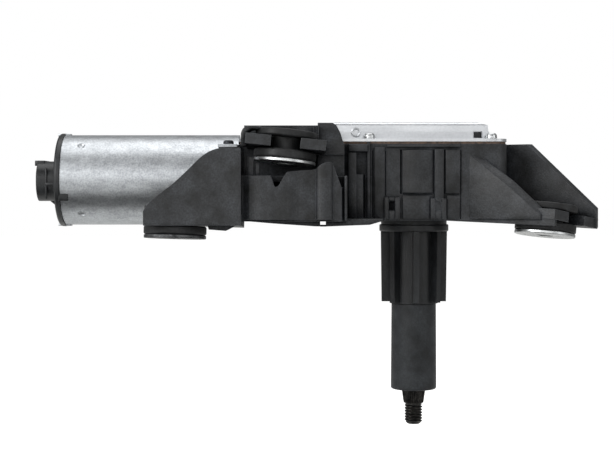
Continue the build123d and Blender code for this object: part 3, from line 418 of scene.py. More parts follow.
def finished(build, name, sharp_angle):
    """A new piece's mesh out of its bmesh, with faces outwards and edges marked."""
    bmesh.ops.recalc_face_normals(build, faces=build.faces)
    mark_edges(build, sharp_angle)
    mesh = bpy.data.meshes.new(name)
    build.to_mesh(mesh)
    build.free()
    return mesh


def weld(mesh, change=None):
    """Merges a mesh's doubles, joins its flat faces, changes it and marks its edges."""
    build = bmesh.new()
    build.from_mesh(mesh)
    bmesh.ops.remove_doubles(build, verts=build.verts, dist=WELD_REACH)
    bmesh.ops.dissolve_limit(
        build,
        angle_limit=FLAT_ANGLE,
        verts=build.verts,
        edges=build.edges,
    )
    if change:
        change(build)
    mark_edges(build)
    build.to_mesh(mesh)
    build.free()
    return mesh


def cad_copy(node, change=None):
    """A welded copy of a CAD node's mesh, after an optional change to its bmesh."""
    return weld(frame["nodes"][node].data.copy(), change)


def cut(mesh, cutters):
    """The mesh after its cutters, one closed bmesh, are taken away from it."""
    bmesh.ops.recalc_face_normals(cutters, faces=cutters.faces)
    tool_mesh = bpy.data.meshes.new("tool")
    cutters.to_mesh(tool_mesh)
    cutters.free()
    tool = bpy.data.objects.new("tool", tool_mesh)
    blank = bpy.data.objects.new("blank", mesh)
    for item in (tool, blank):
        bpy.context.scene.collection.objects.link(item)
    step = blank.modifiers.new("cut", "BOOLEAN")
    step.operation = "DIFFERENCE"
    step.solver = "EXACT"
    step.use_self = True
    step.object = tool
    graph = bpy.context.evaluated_depsgraph_get()
    result = bpy.data.meshes.new_from_object(blank.evaluated_get(graph))
    for item in (blank, tool):
        bpy.data.objects.remove(item)
    return result


def stand_for(node, mesh, body, material, bevel=0.0, name=None):
    """Makes a piece of a finished mesh, in the place of a CAD node if one is given."""
    mesh.materials.clear()
    mesh.materials.append(material)
    piece = bpy.data.objects.new(name or node + "_skin", mesh)
    bpy.context.scene.collection.objects.link(piece)
    if bevel:
        soften = piece.modifiers.new("soft edges", "BEVEL")
        soften.width = bevel * MM
        soften.segments = 2
        soften.limit_method = "ANGLE"
        soften.angle_limit = math.radians(SHARP_ANGLE)
        soften.harden_normals = True
        soften.use_clamp_overlap = True
    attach(piece, body)
    if node:
        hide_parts(node)


# Block beside the middle arm: sloping right flank and an upper face that leans back. Outlines
# are in columns and rows of the picture where in_picture takes them, and else in millimetres
WALL_FRONT = -24.5
SHORT_OF_WALL = WALL_FRONT - 0.2
TOOL_REACH = 4.0
BLOCK_FRONT = -33.9
BLOCK_LEFT = -42.6
BLOCK_RIGHT = -28.0
block_flank = [
    (331.0, 121.0), (336.5, 124.8), (340.2, 132.0), (343.6, 143.3), (352.0, 143.3), (352.0, 121.0),
]
block_lean = [(-36.0, 33.2), (BLOCK_FRONT, 33.2), (-28.6, 43.0), (-36.0, 43.0)]
flank_tool = bmesh.new()
flank_outline = in_picture(block_flank, BLOCK_FRONT)
prism(flank_tool, flank_outline, "Y", BLOCK_FRONT - TOOL_REACH, SHORT_OF_WALL)
housing = cut(cad_copy("gear_housing"), flank_tool)
lean_tool = bmesh.new()
prism(lean_tool, block_lean, "X", BLOCK_LEFT, BLOCK_RIGHT)
housing = cut(housing, lean_tool)

# Hollows of the front wall: left, top, right and bottom in the picture, and depth in millimetres
wall_hollows = {
    "slot left of the clip rib": ((363.2, 174.8, 365.6, 218.0), 1.6),
    "slot right of the clip rib": ((372.0, 150.0, 373.6, 218.0), 1.6),
    "groove left of the bowed panel": ((399.8, 149.5, 402.0, 194.0), 1.2),
    "groove right of the bowed panel": ((433.2, 149.5, 434.4, 194.0), 0.9),
    "groove right of the upright strip": ((443.8, 149.5, 445.2, 194.0), 0.9),
    "groove at the wall's right end": ((460.2, 149.5, 461.4, 219.0), 0.8),
    "groove below the bowed panel": ((402.6, 193.4, 432.8, 194.8), 0.9),
    "left snap window": ((388.8, 201.2, 394.4, 210.4), 2.4),
    "right snap window": ((435.7, 202.2, 441.3, 210.4), 2.4),
    "groove beside the wide panel": ((385.0, 150.7, 386.2, 196.0), 0.8),
}
WALL_REACH = 1.0
carving = bmesh.new()
for box, depth in wall_hollows.values():
    prism(carving, photo_box(box, WALL_FRONT), "Y", WALL_FRONT - WALL_REACH, WALL_FRONT + depth)

# V notch in the bay's top edge, the dark pocket at its right, and room for a square right end
BAY_FRONT = -50.5
NOTCH_LEFT = (270.6, 174.0)
NOTCH_LOW = (274.6, 187.3)
NOTCH_RISE = (278.2, 186.4)
NOTCH_DEPTH = 6.0
POCKET_DEPTH = 14.0
BAY_REACH = BAY_FRONT - TOOL_REACH
v_notch = [NOTCH_LEFT, NOTCH_LOW, NOTCH_RISE, (286.0, 174.0)]
pocket = [(334.6, 168.0), (341.4, 187.3), (347.5, 187.3), (347.5, 168.0)]
slanted_end = [(-30.9, -0.6), (-17.0, -0.6), (-17.0, 18.7), (-30.9, 18.7)]
prism(carving, in_picture(v_notch, BAY_FRONT), "Y", BAY_REACH, BAY_FRONT + NOTCH_DEPTH)
prism(carving, in_picture(pocket, BAY_FRONT), "Y", BAY_REACH, BAY_FRONT + POCKET_DEPTH)
prism(carving, slanted_end, "Y", BAY_REACH, SHORT_OF_WALL)

# Chamfer along the crest of the right arm's far gusset, in the arm's own frame
RIGHT_TURN = math.radians(-28)
right_arm = Matrix.Translation((54.5, -22.5, 0)) @ Matrix.Rotation(RIGHT_TURN, 4, "Z")
crest_inside = [(-13.0, 31.4), (18.0, 2.3), (18.0, 9.0), (-13.0, 37.0)]
crest_outside = [(-13.0, 34.2), (18.0, 5.1), (18.0, 9.0), (-13.0, 37.0)]
CREST_FRONT = 12.6
CREST_BACK = 15.9
prism(carving, crest_inside, "Y", CREST_FRONT, CREST_BACK, crest_outside, right_arm)
housing = cut(housing, carving)
stand_for("gear_housing", weld(housing), "frame", nylon)


# Front wall round the shaft: a clip rib, flat upright panels and frames round the snap windows,
# all moulded with the wall and up to three millimetres proud of it.
def moulded_detail(name, shapes, bevel=0.25, material=nylon, lay=None):
    """Relief of a moulding: prisms as (outline, axis, start, end, far outline), edges rounded."""
    build = bmesh.new()
    for shape in shapes:
        prism(build, *shape, lay=lay)
    bmesh.ops.recalc_face_normals(build, faces=build.faces)
    bmesh.ops.bevel(
        build,
        geom=list(build.edges),
        offset=bevel * MM,
        offset_type="OFFSET",
        segments=2,
        profile=0.5,
        affect="EDGES",
        clamp_overlap=True,
        material=-1,
    )
    mesh = finished(build, name, sharp_angle=ALL_SMOOTH)
    stand_for(None, mesh, "frame", material, name=name)


# Left, top, right and bottom in the picture, and how far each stands proud in millimetres
wall_panels = {
    "clip rib": ((366.9, 141.8, 369.8, 218.4), 1.8),
    "ledge left of the clip rib": ((348.2, 144.6, 367.0, 151.8), 3.2),
    "strip over the right window": ((434.6, 149.0, 443.6, 219.0), 1.2),
    "upper right panel": ((445.4, 149.6, 460.0, 193.6), 0.9),
    "lower middle panel": ((402.4, 195.2, 429.8, 219.0), 0.7),
    "lower right panel": ((446.8, 195.2, 459.8, 219.0), 0.6),
    "band below the cover": ((386.6, 144.6, 460.0, 147.4), 1.0),
    "left window's left post": ((384.0, 197.2, 388.6, 219.4), 1.5),
    "left window's right post": ((394.6, 197.2, 399.8, 219.4), 1.5),
    "left window's lintel": ((388.8, 197.2, 394.4, 201.0), 1.5),
    "left window's sill": ((388.8, 210.6, 394.4, 219.4), 1.5),
    "right window's left post": ((430.3, 198.2, 435.5, 219.4), 1.6),
    "right window's right post": ((441.5, 198.2, 446.2, 219.4), 1.6),
    "right window's lintel": ((435.7, 198.2, 441.3, 202.0), 1.6),
    "right window's sill": ((435.7, 210.6, 441.3, 219.4), 1.6),
}
ROOTED = 0.6
moulded_detail(
    "front_wall_relief",
    [
        (photo_box(box, WALL_FRONT), "Y", WALL_FRONT - proud, WALL_FRONT + ROOTED)
        for box, proud in wall_panels.values()
    ],
)

# Bowed panel: the widest of the front wall's panels, straight above the shaft, swells out
# towards the middle. It is part of the same moulding.
PANEL_STEPS = 16
PANEL_RISE = 1.6
PANEL_PROUD = 0.25
PANEL_LIP = 0.2
PANEL_ROOT = WALL_FRONT + 0.5
PANEL_TOP_LEFT = (402.4, 149.8)
PANEL_LOW_RIGHT = (432.8, 193.2)
panel_left, panel_top = seen_at(*PANEL_TOP_LEFT, WALL_FRONT)
panel_right, panel_bottom = seen_at(*PANEL_LOW_RIGHT, WALL_FRONT)
panel_rings = []
for step in range(PANEL_STEPS + 1):
    share = step / PANEL_STEPS
    x = panel_left + (panel_right - panel_left) * share
    y = WALL_FRONT - PANEL_RISE * math.sin(math.pi * share) - PANEL_PROUD
    panel_rings.append(
        [
            (x, PANEL_ROOT, panel_top),
            (x, y, panel_top - PANEL_LIP),
            (x, y, panel_bottom + PANEL_LIP),
            (x, PANEL_ROOT, panel_bottom),
        ]
    )
panel = bmesh.new()
join_rings(panel, panel_rings)
panel_mesh = finished(panel, "bowed_panel", sharp_angle=30)
stand_for(None, panel_mesh, "frame", nylon, bevel=0.15, name="bowed_panel")

# Bay below the middle arm: its front wall swells out, drops in a V notch and carries a round
# post at the right. It is the same moulding, with two stub ribs standing on its left end.
BAY_COLUMNS = 84
BAY_BOTTOM = 219.8
POST_LEFT = 316.0
POST_RIGHT = 332.6
POST_RISE = 2.4
POST_CROWN = 3.0
BAY_ROOT = BAY_FRONT + 0.4
TOP_SWELL = 0.55
# Column in the picture, how far forward the wall comes in millimetres, and row of its top edge
bay_line = (
    (243.6, -50.8, 175.7),
    (250.0, -52.4, 175.7),
    (262.0, -53.3, 175.7),
    (NOTCH_LEFT[0], -53.3, 175.7),
    (NOTCH_LOW[0], -53.2, NOTCH_LOW[1]),
    (NOTCH_RISE[0], -53.0, NOTCH_RISE[1]),
    (284.0, -52.6, 176.5),
    (287.0, -52.3, 172.0),
    (300.0, -51.0, 170.5),
    (312.0, -50.7, 170.0),
    (POST_LEFT, -50.7, 169.0),
    (POST_RIGHT, -50.7, 163.0),
    (341.4, -50.6, 187.3),
)


def bay_spot(column):
    """How far forward the bay's wall comes at a column, with eased turns, and its top's row."""
    for before, after in zip(bay_line, bay_line[1:]):
        if column <= after[0]:
            share = (column - before[0]) / (after[0] - before[0])
            eased = share * share * (3 - 2 * share)
            return (
                before[1] + (after[1] - before[1]) * eased,
                before[2] + (after[2] - before[2]) * share,
            )
    return bay_line[-1][1:]


bay_rings = []
for step in range(BAY_COLUMNS + 1):
    column = bay_line[0][0] + (bay_line[-1][0] - bay_line[0][0]) * step / BAY_COLUMNS
    face_y, row = bay_spot(column)
    if POST_LEFT < column < POST_RIGHT:
        across = (column - POST_LEFT) / (POST_RIGHT - POST_LEFT) * 2 - 1
        face_y -= POST_RISE * math.sqrt(1 - across * across)
        row -= POST_CROWN * (1 - across * across)
    x, z_top = seen_at(column, row, BAY_FRONT)
    z_low = seen_at(column, BAY_BOTTOM, BAY_FRONT)[1]
    bay_rings.append(
        [
            (x, BAY_ROOT, z_top),
            (x, face_y * TOP_SWELL + (BAY_FRONT - 0.2) * (1 - TOP_SWELL), z_top),
            (x, face_y, z_low),
            (x, BAY_ROOT, z_low),
        ]
    )
bay = bmesh.new()
join_rings(bay, bay_rings)
bay_mesh = finished(bay, "bay_wall", sharp_angle=40)
stand_for(None, bay_mesh, "frame", nylon, name="bay_wall")
stub_ribs = ((248.0, 156.6, 253.6, 176.5), (255.4, 163.4, 259.4, 176.5))
STUB_BACK = BAY_FRONT + 3.0
moulded_detail(
    "bay_ribs",
    [(photo_box(box, BAY_FRONT), "Y", BAY_FRONT, STUB_BACK) for box in stub_ribs],
)

# Bay's floor and right end: a shallow belly below the floor, in two halves with a light gap
# between them that a rib crosses, and a square end with the wall's flat panels beside it.
BELLY_FRONT = -46.0
BELLY_BACK = -26.0
belly_left = [
    (243.6, 219.0), (243.6, 221.0), (274.6, 223.6), (315.7, 226.4), (320.2, 226.4), (320.2, 219.0),
]
belly_right = [(326.4, 219.0), (326.4, 226.5), (370.0, 224.8), (383.0, 221.0), (383.0, 219.0)]
belly_rib = [(320.0, 226.6), (326.6, 226.6), (326.6, 225.6), (320.0, 225.6)]
moulded_detail(
    "bay_belly",
    [
        (in_picture(outline, BELLY_FRONT), "Y", BELLY_FRONT, BELLY_BACK)
        for outline in (belly_left, belly_right, belly_rib)
    ],
    bevel=0.15,
)
CORNER_FRONT = -27.6
CORNER_BACK = WALL_FRONT + 0.4
WIDE_PANEL_FRONT = WALL_FRONT - 0.7
SQUARE_END_LEFT = -31.8
SQUARE_END_RIGHT = -30.7
square_end = [(-50.4, 0.4), (-24.2, 0.4), (-24.2, 18.5), (-50.4, 18.5)]
left_panel = photo_box((348.2, 152.4, 356.4, 219.4), CORNER_FRONT)
rib_panel = photo_box((356.2, 174.4, 363.0, 219.4), CORNER_FRONT)
wide_panel = photo_box((374.2, 147.0, 384.8, 219.4), WALL_FRONT)
moulded_detail(
    "bay_end",
    [
        (square_end, "X", SQUARE_END_LEFT, SQUARE_END_RIGHT),
        (left_panel, "Y", CORNER_FRONT, CORNER_BACK),
        (rib_panel, "Y", CORNER_FRONT, CORNER_BACK),
        (wide_panel, "Y", WIDE_PANEL_FRONT, CORNER_BACK),
    ],
)

# Left and right arm: a keel of two thin plates under the left one, beside its grommet, and the
# right one's near gusset, a plain plate with a broad chamfer along its crest. Same moulding.
left_keel = [
    (206.4, 222.0), (208.6, 229.6), (225.8, 230.9), (231.0, 228.2), (243.4, 221.4), (243.4, 219.6),
    (206.4, 219.6),
]
KEEL_PLATES = ((-47.0, -44.6), (-36.0, -33.6))
keel_outline = in_picture(left_keel, KEEL_PLATES[0][0])
moulded_detail("left_keel", [(keel_outline, "Y", front, back) for front, back in KEEL_PLATES])
GUSSET_FRONT = -17.2
GUSSET_CHAMFER = -14.6
GUSSET_BACK = -13.0
gusset_face = [
    (-31.0, 28.0), (-28.4, 28.0), (-10.4, 14.4), (1.4, 3.9), (3.2, 2.6), (3.2, 0.6), (-31.0, 0.6),
]
gusset_body = [
    (-31.0, 30.0), (-28.0, 30.0), (-10.0, 16.8), (1.8, 6.2), (3.6, 4.4), (3.6, 0.6), (-31.0, 0.6),
]
moulded_detail(
    "near_gusset",
    [
        (gusset_face, "Y", GUSSET_FRONT, GUSSET_CHAMFER, gusset_body),
        (gusset_body, "Y", GUSSET_CHAMFER, GUSSET_BACK),
    ],
    bevel=0.12,
    lay=right_arm,
)

# Middle arm: the rim that wraps round the left end of the grommet's fork, and three upright
# stiffening ribs between the fork and the block. Same moulding.
RIM_FRONT = -47.0
RIM_DEPTH = 12.0
fork_rim = [
    (240.8, 146.5), (240.8, 133.0), (242.6, 128.6), (246.4, 126.0), (251.5, 125.4), (262.0, 126.0),
    (262.0, 129.6), (252.0, 129.4), (247.6, 131.8), (246.6, 136.0), (246.6, 146.5),
]
rim_outline = in_picture(fork_rim, RIM_FRONT)
moulded_detail("fork_rim", [(rim_outline, "Y", RIM_FRONT, RIM_FRONT + RIM_DEPTH)], bevel=0.5)
RIBS_FRONT = -34.6
RIBS_BACK = -30.0
RIB_LEFTS = (313.4, 315.6, 317.8)
RIB_WIDTH = 1.1
RIB_TOP = 125.4
RIB_BOTTOM = 154.4
rib_boxes = [(left, RIB_TOP, left + RIB_WIDTH, RIB_BOTTOM) for left in RIB_LEFTS]
moulded_detail(
    "block_ribs",
    [(photo_box(box, RIBS_FRONT), "Y", RIBS_FRONT, RIBS_BACK) for box in rib_boxes],
    bevel=0.15,
)

# Motor can: deep-drawn steel with a satin zinc plate. Its crystals show as a fine grey mottle,
# and the magnets' clip is staked from outside in small round dents.
zinc = new_material("satin zinc plate", metallic=1.0)
grain(zinc, size=0.6, height=0.02)
sheen(zinc, size=3, low=0.36, high=0.46)
mottle(zinc, size=3, dark="979a9d", pale="aaadb0", fine=0.7, stretch=(0.5, 1, 1), contrast=0.2)
MOTOR_Y = -4.218
MOTOR_Z = 17.4
CAN_RADIUS = 19.5
CAN_REAR = -151.8
DENT_X = CAN_REAR + 8.4
DENT_TURNS = (-48, 48)
DENT_RADIUS = 2.1
DENT_REACH = CAN_RADIUS + 1.2
punches = bmesh.new()
for turn in DENT_TURNS:
    dent_y = MOTOR_Y - DENT_REACH * math.cos(math.radians(turn))
    dent_z = MOTOR_Z + DENT_REACH * math.sin(math.radians(turn))
    bmesh.ops.create_uvsphere(
        punches,
        u_segments=24,
        v_segments=12,
        radius=DENT_RADIUS * MM,
        matrix=Matrix.Translation(Vector((DENT_X, dent_y, dent_z)) * MM),
    )
can = cut(cad_copy("motor_can"), punches)
stand_for("motor_can", weld(can), "frame", zinc, bevel=0.2)

# End cap: black polyester, smoother than the housing, closing the can; two sheet tabs of the can
# are bent over its edge, and a lug of the cap fills a notch in the can's front side.
polyester = new_material("moulded polyester", specular=0.3)
grain(polyester, size=0.5, height=0.025)
sheen(polyester, size=8, low=0.30, high=0.50)
mottle(polyester, size=8, dark="0d0e0f", pale="232527", fine=0.8)
CAP_SHIFT = 2.0
FLANGE_X = CAN_REAR - 1.0


def seat_closer(build):
    """Brings the cap's flange and its socket nearer to the can, as the photograph has them."""
    for vert in build.verts:
        if vert.co.x < FLANGE_X * MM:
            vert.co.x += CAP_SHIFT * MM


stand_for(
    "end_cap", cad_copy("end_cap", seat_closer), "frame", polyester, bevel=0.15
)
SOCKET_FRONT = -15.2
SOCKET_SKIN = SOCKET_FRONT + 0.8
KEY_DEPTH = -8.0
KEY_FRONT = -10.6
KEY_BACK = 2.2
WEB_FRONT = -5.2
WEB_BACK = -3.2
socket_key = photo_box((36.2, 160.7, 46.0, 166.0), KEY_DEPTH)
socket_ledge = photo_box((45.2, 182.6, 56.0, 185.6), SOCKET_FRONT)
socket_rib = photo_box((45.2, 168.0, 47.2, 199.0), SOCKET_FRONT)
socket_web = [(50.0, 199.0), (50.0, 200.8), (58.4, 207.4), (58.4, 199.0)]
moulded_detail(
    "socket_details",
    [
        (socket_key, "Y", KEY_FRONT, KEY_BACK),
        (socket_ledge, "Y", SOCKET_FRONT - 0.9, SOCKET_SKIN),
        (socket_rib, "Y", SOCKET_FRONT - 0.5, SOCKET_SKIN),
        (in_picture(socket_web, WEB_FRONT), "Y", WEB_FRONT, WEB_BACK),
    ],
    bevel=0.2,
    material=polyester,
)
LUG_TURN = math.radians(-23)
LUG_HALF = 1.5
LUG_START = CAN_REAR - 0.8
LUG_END = CAN_REAR + 3.4
lug_y = MOTOR_Y - CAN_RADIUS * math.cos(LUG_TURN)
lug_z = MOTOR_Z + CAN_RADIUS * math.sin(LUG_TURN)
lug_outline = [
    (lug_y - 0.5, lug_z - LUG_HALF),
    (lug_y + 1.4, lug_z - LUG_HALF),
    (lug_y + 0.4, lug_z + LUG_HALF),
    (lug_y - 1.1, lug_z + LUG_HALF),
]
moulded_detail(
    "cap_lug",
    [(lug_outline, "X", LUG_START, LUG_END)],
    bevel=0.3,
    material=polyester,
)
TAB_HALF = 2.5
TAB_START = CAN_REAR - 3.4
TAB_END = CAN_REAR + 2.0
tab_shapes = []
for sign in (-1, 1):
    low = MOTOR_Z + sign * (CAN_RADIUS - 0.6)
    high = MOTOR_Z + sign * (CAN_RADIUS + 0.5)
    left, right = MOTOR_Y - TAB_HALF, MOTOR_Y + TAB_HALF
    outline = [(left, low), (right, low), (right, high), (left, high)]
    tab_shapes.append((outline, "X", TAB_START, TAB_END))
moulded_detail("can_tabs", tab_shapes, bevel=0.2, material=zinc)

# Cover: bright aluminium sheet, pressed. Rolling lines run along it, its rim is rounded by the
# press, its right end slopes, and it carries a ring boss and a square vent in front.
aluminium = new_material("rolled aluminium", metallic=1.0)
grain(aluminium, size=0.7, height=0.005, stretch=(0.12, 1, 1))
sheen(aluminium, size=6, low=0.36, high=0.48, stretch=(0.3, 1, 1))
mottle(aluminium, size=7, dark="b0b2b5", pale="bfc1c3", fine=0.9, stretch=(0.3, 1, 1), contrast=0.05)
COVER_TOP = 41.9
RIM_BAND = 2.6
RIM_ANGLE = math.radians(15)
RIM_RADIUS = 1.1
LEVEL_ENOUGH = 0.9
DOME_FRONT = -17.3
VENT_DEPTH = 1.1


def round_the_rim(build):
    """Rounds the edges round the top of the cover's raised part."""
    rim_edges = [
        edge
        for edge in build.edges
        if len(edge.link_faces) == 2
        and min(vert.co.z for vert in edge.verts) > (COVER_TOP - RIM_BAND) * MM
        and edge.calc_face_angle(0) > RIM_ANGLE
        and max(face.normal.z for face in edge.link_faces) > LEVEL_ENOUGH
    ]
    bmesh.ops.bevel(
        build,
        geom=rim_edges,
        offset=RIM_RADIUS * MM,
        offset_type="OFFSET",
        segments=4,
        profile=0.5,
        affect="EDGES",
        clamp_overlap=True,
        material=-1,
    )


SLOPE_FRONT = -26.0
SLOPE_BACK = 51.0
end_slope = [(25.8, 42.6), (25.8, 41.95), (38.0, 38.4), (38.0, 42.6)]
vent_box = photo_box((472.9, 131.4, 482.1, 138.2), DOME_FRONT)
cover_tools = bmesh.new()
prism(cover_tools, end_slope, "Y", SLOPE_FRONT, SLOPE_BACK)
prism(cover_tools, vent_box, "Y", DOME_FRONT - 1.5, DOME_FRONT + VENT_DEPTH)
cover = weld(cut(cad_copy("cover"), cover_tools), round_the_rim)
stand_for("cover", cover, "frame", aluminium, bevel=0.12)


def turned(name, profile, centre, axis, steps, material):
    """A full spin of a profile of (radius, height) round an axis through centre."""
    build = bmesh.new()
    verts = [build.verts.new(Vector((radius, 0, height)) * MM) for radius, height in profile]
    edges = [build.edges.new(pair) for pair in zip(verts, verts[1:])]
    bmesh.ops.spin(
        build,
        geom=verts + edges,
        cent=(0, 0, 0),
        axis=(0, 0, 1),
        angle=2 * math.pi,
        steps=steps,
        use_merge=True,
    )
    bmesh.ops.remove_doubles(build, verts=build.verts, dist=WELD_REACH / 2)
    lay = Vector(axis).to_track_quat("Z", "Y").to_matrix().to_4x4()
    bmesh.ops.transform(
        build, matrix=Matrix.Translation(Vector(centre) * MM) @ lay, verts=build.verts
    )
    mesh = finished(build, name, sharp_angle=40)
    stand_for(None, mesh, "frame", material, name=name)


BOSS_IN_PICTURE = (355.8, 132.4)
boss_x, boss_z = seen_at(*BOSS_IN_PICTURE, DOME_FRONT)
turned(
    "cover_boss",
    profile=[(2.1, -0.4), (2.1, 0.45), (1.7, 0.6), (1.3, 0.45), (1.2, 0.1), (0.0, 0.1)],
    centre=(boss_x, DOME_FRONT + 0.2, boss_z),
    axis=(0, -1, 0),
    steps=40,
    material=aluminium,
)

# Gasket: a flat ring punched from dark brown cork rubber and clamped between the housing's rim
# and the cover. Pale cork crumbs show in its cut edge.
cork = new_material("cork rubber", roughness=0.75)
grain(cork, size=0.6, height=0.06)
mottle(cork, size=1.4, dark="2a211c", pale="5a4638", fine=0.5)
stand_for("cover_gasket", cad_copy("cover_gasket"), "frame", cork, bevel=0.1)

# Screws: the cover's are zinc-plated pan heads, the can ears' are passivated black. Both have a
# six-lobed recess; their shanks sit in the housing's towers and bosses.
bright_zinc = new_material("bright zinc plate", metallic=1.0)
grain(bright_zinc, size=0.3, height=0.006)
sheen(bright_zinc, size=3, low=0.24, high=0.40)
mottle(bright_zinc, size=4, dark="a5a7a8", pale="bbbdbd", fine=0.6, contrast=0.1)
black_zinc = new_material("black passivate", metallic=0.8, roughness=0.4)
grain(black_zinc, size=0.3, height=0.008)
mottle(black_zinc, size=2, dark="1a1b1d", pale="34363a", fine=0.5)
LOBES = 6
LOBE_RISE = 0.12
SCREW_STEPS = 48
CENTRE_RADIUS = 0.01


def screws(node, seats, head_radius, head_height, shank_radius, shank_length, material):
    """One mesh with a screw at every seat: rounded head, six-lobed recess and plain shank."""
    levels = (
        (CENTRE_RADIUS, -shank_length, 0.0),
        (shank_radius, -shank_length, 0.0),
        (shank_radius, 0.0, 0.0),
        (head_radius * 0.99, 0.0, 0.0),
        (head_radius, head_height * 0.12, 0.0),
        (head_radius, head_height * 0.45, 0.0),
        (head_radius * 0.95, head_height * 0.70, 0.0),
        (head_radius * 0.82, head_height * 0.90, 0.0),
        (head_radius * 0.64, head_height, 0.0),
        (head_radius * 0.48, head_height, LOBE_RISE),
        (head_radius * 0.46, head_height * 0.40, LOBE_RISE),
        (CENTRE_RADIUS, head_height * 0.32, 0.0),
    )
    build = bmesh.new()
    for seat_x, seat_y, seat_z in seats:
        rings = []
        for radius, height, wave in levels:
            ring = []
            for step in range(SCREW_STEPS):
                turn = -2 * math.pi * step / SCREW_STEPS
                reach = radius * (1 + wave * math.cos(LOBES * turn))
                x = seat_x + reach * math.cos(turn)
                y = seat_y + reach * math.sin(turn)
                ring.append((x, y, seat_z + height))
            rings.append(ring)
        join_rings(build, rings)
    mesh = finished(build, node + "_heads", sharp_angle=40)
    stand_for(node, mesh, "frame", material)


SCREW_SEAT = 34.6
cover_seats = (
    (-20.5, -20.8), (31.3, -20.8), (34.3, 17.0), (-12.0, 45.8), (-67.23, 40.73), (-72.3, 10.0),
)
screws(
    "cover_screws",
    [(x, y, SCREW_SEAT) for x, y in cover_seats],
    head_radius=2.4,
    head_height=2.4,
    shank_radius=1.5,
    shank_length=12.0,
    material=bright_zinc,
)
EAR_X = -80.0
EAR_SEAT = 32.1
EAR_REACH = 22.5
screws(
    "ear_screws",
    [(EAR_X, MOTOR_Y + sign * EAR_REACH, EAR_SEAT) for sign in (-1, 1)],
    head_radius=2.2,
    head_height=1.7,
    shank_radius=1.25,
    shank_length=9.5,
    material=black_zinc,
)

# Ribbed collar and smooth sleeve: two black mouldings on the guide tube. The collar is satin and
# faintly streaked by the mould, the sleeve is matt with a fine even grain.
satin_nylon = new_material("satin nylon", specular=0.3)
grain(satin_nylon, size=0.5, height=0.03)
sheen(satin_nylon, size=7, low=0.28, high=0.46, stretch=(1, 1, 0.3))
mottle(satin_nylon, size=6, dark="0a0b0c", pale="1c1e20", fine=0.8, stretch=(1, 1, 0.3))
matt_nylon = new_material("matt nylon", specular=0.3)
grain(matt_nylon, size=0.55, height=0.05)
sheen(matt_nylon, size=9, low=0.42, high=0.60)
mottle(matt_nylon, size=8, dark="101214", pale="25282b", fine=0.7)
collar = cad_copy("ribbed_collar")
stand_for("ribbed_collar", collar, "frame", satin_nylon, bevel=0.25)
turned(
    "collar_step",
    profile=[(11.0, -2.3), (14.3, -2.3), (14.4, -2.2), (14.4, 0.1), (11.0, 0.1), (11.0, -2.3)],
    centre=(0, 0, 0),
    axis=(0, 0, 1),
    steps=96,
    material=satin_nylon,
)
sleeve = cad_copy("shaft_sleeve")
stand_for("shaft_sleeve", sleeve, "frame", matt_nylon, bevel=0.3)

# Grommets and bushes: black EPDM rubber with a dull bloom, and pressed steel washer-bushes in
# bright zinc plate, the left one painted darker as painted shade. A black rubber plate in the
# cover's vent is painted shade for a deep hole.
rubber = new_material("EPDM rubber", specular=0.28)
grain(rubber, size=0.4, height=0.03)
sheen(rubber, size=5, low=0.45, high=0.70)
mottle(rubber, size=6, dark="0b0b0c", pale="1f2021", fine=0.9)
# The left bush's zinc: the bright plate painted darker, as painted shade.
painted_shade_zinc = new_material("zinc plate with painted shade", metallic=0.9)
grain(painted_shade_zinc, size=0.3, height=0.01)
mottle(painted_shade_zinc, size=3, dark="303132", pale="626364", fine=0.6)
# Painted shade: a black rubber plate set into the shallow vent recess stands in for the shadow of a
# deep hole.
SHADE_PLATE_INSET = 0.5
shade_plate_box = photo_box((473.8, 132.0, 481.4, 137.8), DOME_FRONT)
moulded_detail(
    "vent_shade_plate",
    [(shade_plate_box, "Y", DOME_FRONT + SHADE_PLATE_INSET, DOME_FRONT + VENT_DEPTH)],
    bevel=0.1,
    material=rubber,
)
# The left bush takes the zinc with painted shade.
for side, plating in (("left", painted_shade_zinc), ("middle", bright_zinc), ("right", bright_zinc)):
    grommet = cad_copy(side + "_grommet")
    stand_for(side + "_grommet", grommet, "frame", rubber, bevel=0.3)
    bush = cad_copy(side + "_bush")
    stand_for(side + "_bush", bush, "frame", plating, bevel=0.15)

# Wiper shaft: phosphated steel, oiled. Below the sleeve it has a knurled cone for the arm, a
# relief and an M8 thread; what is inside the guide tube is plain.
phosphate = new_material("phosphated steel", metallic=1.0)
grain(phosphate, size=0.3, height=0.02)
sheen(phosphate, size=2, low=0.30, high=0.50)
mottle(phosphate, size=2.5, dark="2a2a2a", pale="504e4b", fine=0.4)
CONE_TOP = -74.7
CONE_BOTTOM = -80.6
CONE_TOP_RADIUS = 5.22
CONE_BOTTOM_RADIUS = 4.38
KNURL_TEETH = 36
KNURL_DEPTH = 0.38
KNURL_START = 0.08
RELIEF_RADIUS = 3.6
THREAD_TOP = -81.5
THREAD_PITCH = 1.25
ROOT_RADIUS = 3.30
THREAD_HEIGHT = 0.68
CREST_RADIUS = 3.98
ROOT_SHARE = 0.14
FLANK_SHARE = 0.72
CHAMFER_TOP = -88.6
CHAMFER_DEPTH = 1.28
SHAFT_END = -89.9
SHAFT_STEPS = KNURL_TEETH * 4
THREAD_ROWS = 68
CONE_ROWS = 6


def keep_plain_shaft(build):
    """Cuts the plain shaft off at the top of its cone."""
    bmesh.ops.bisect_plane(
        build,
        geom=build.verts[:] + build.edges[:] + build.faces[:],
        plane_co=(0, 0, CONE_TOP * MM),
        plane_no=(0, 0, -1),
        clear_outer=True,
    )
    bmesh.ops.holes_fill(build, edges=[edge for edge in build.edges if edge.is_boundary])


plain_shaft = cad_copy("wiper_shaft", keep_plain_shaft)
stand_for("wiper_shaft", plain_shaft, "swing_shaft", phosphate, bevel=0.1)


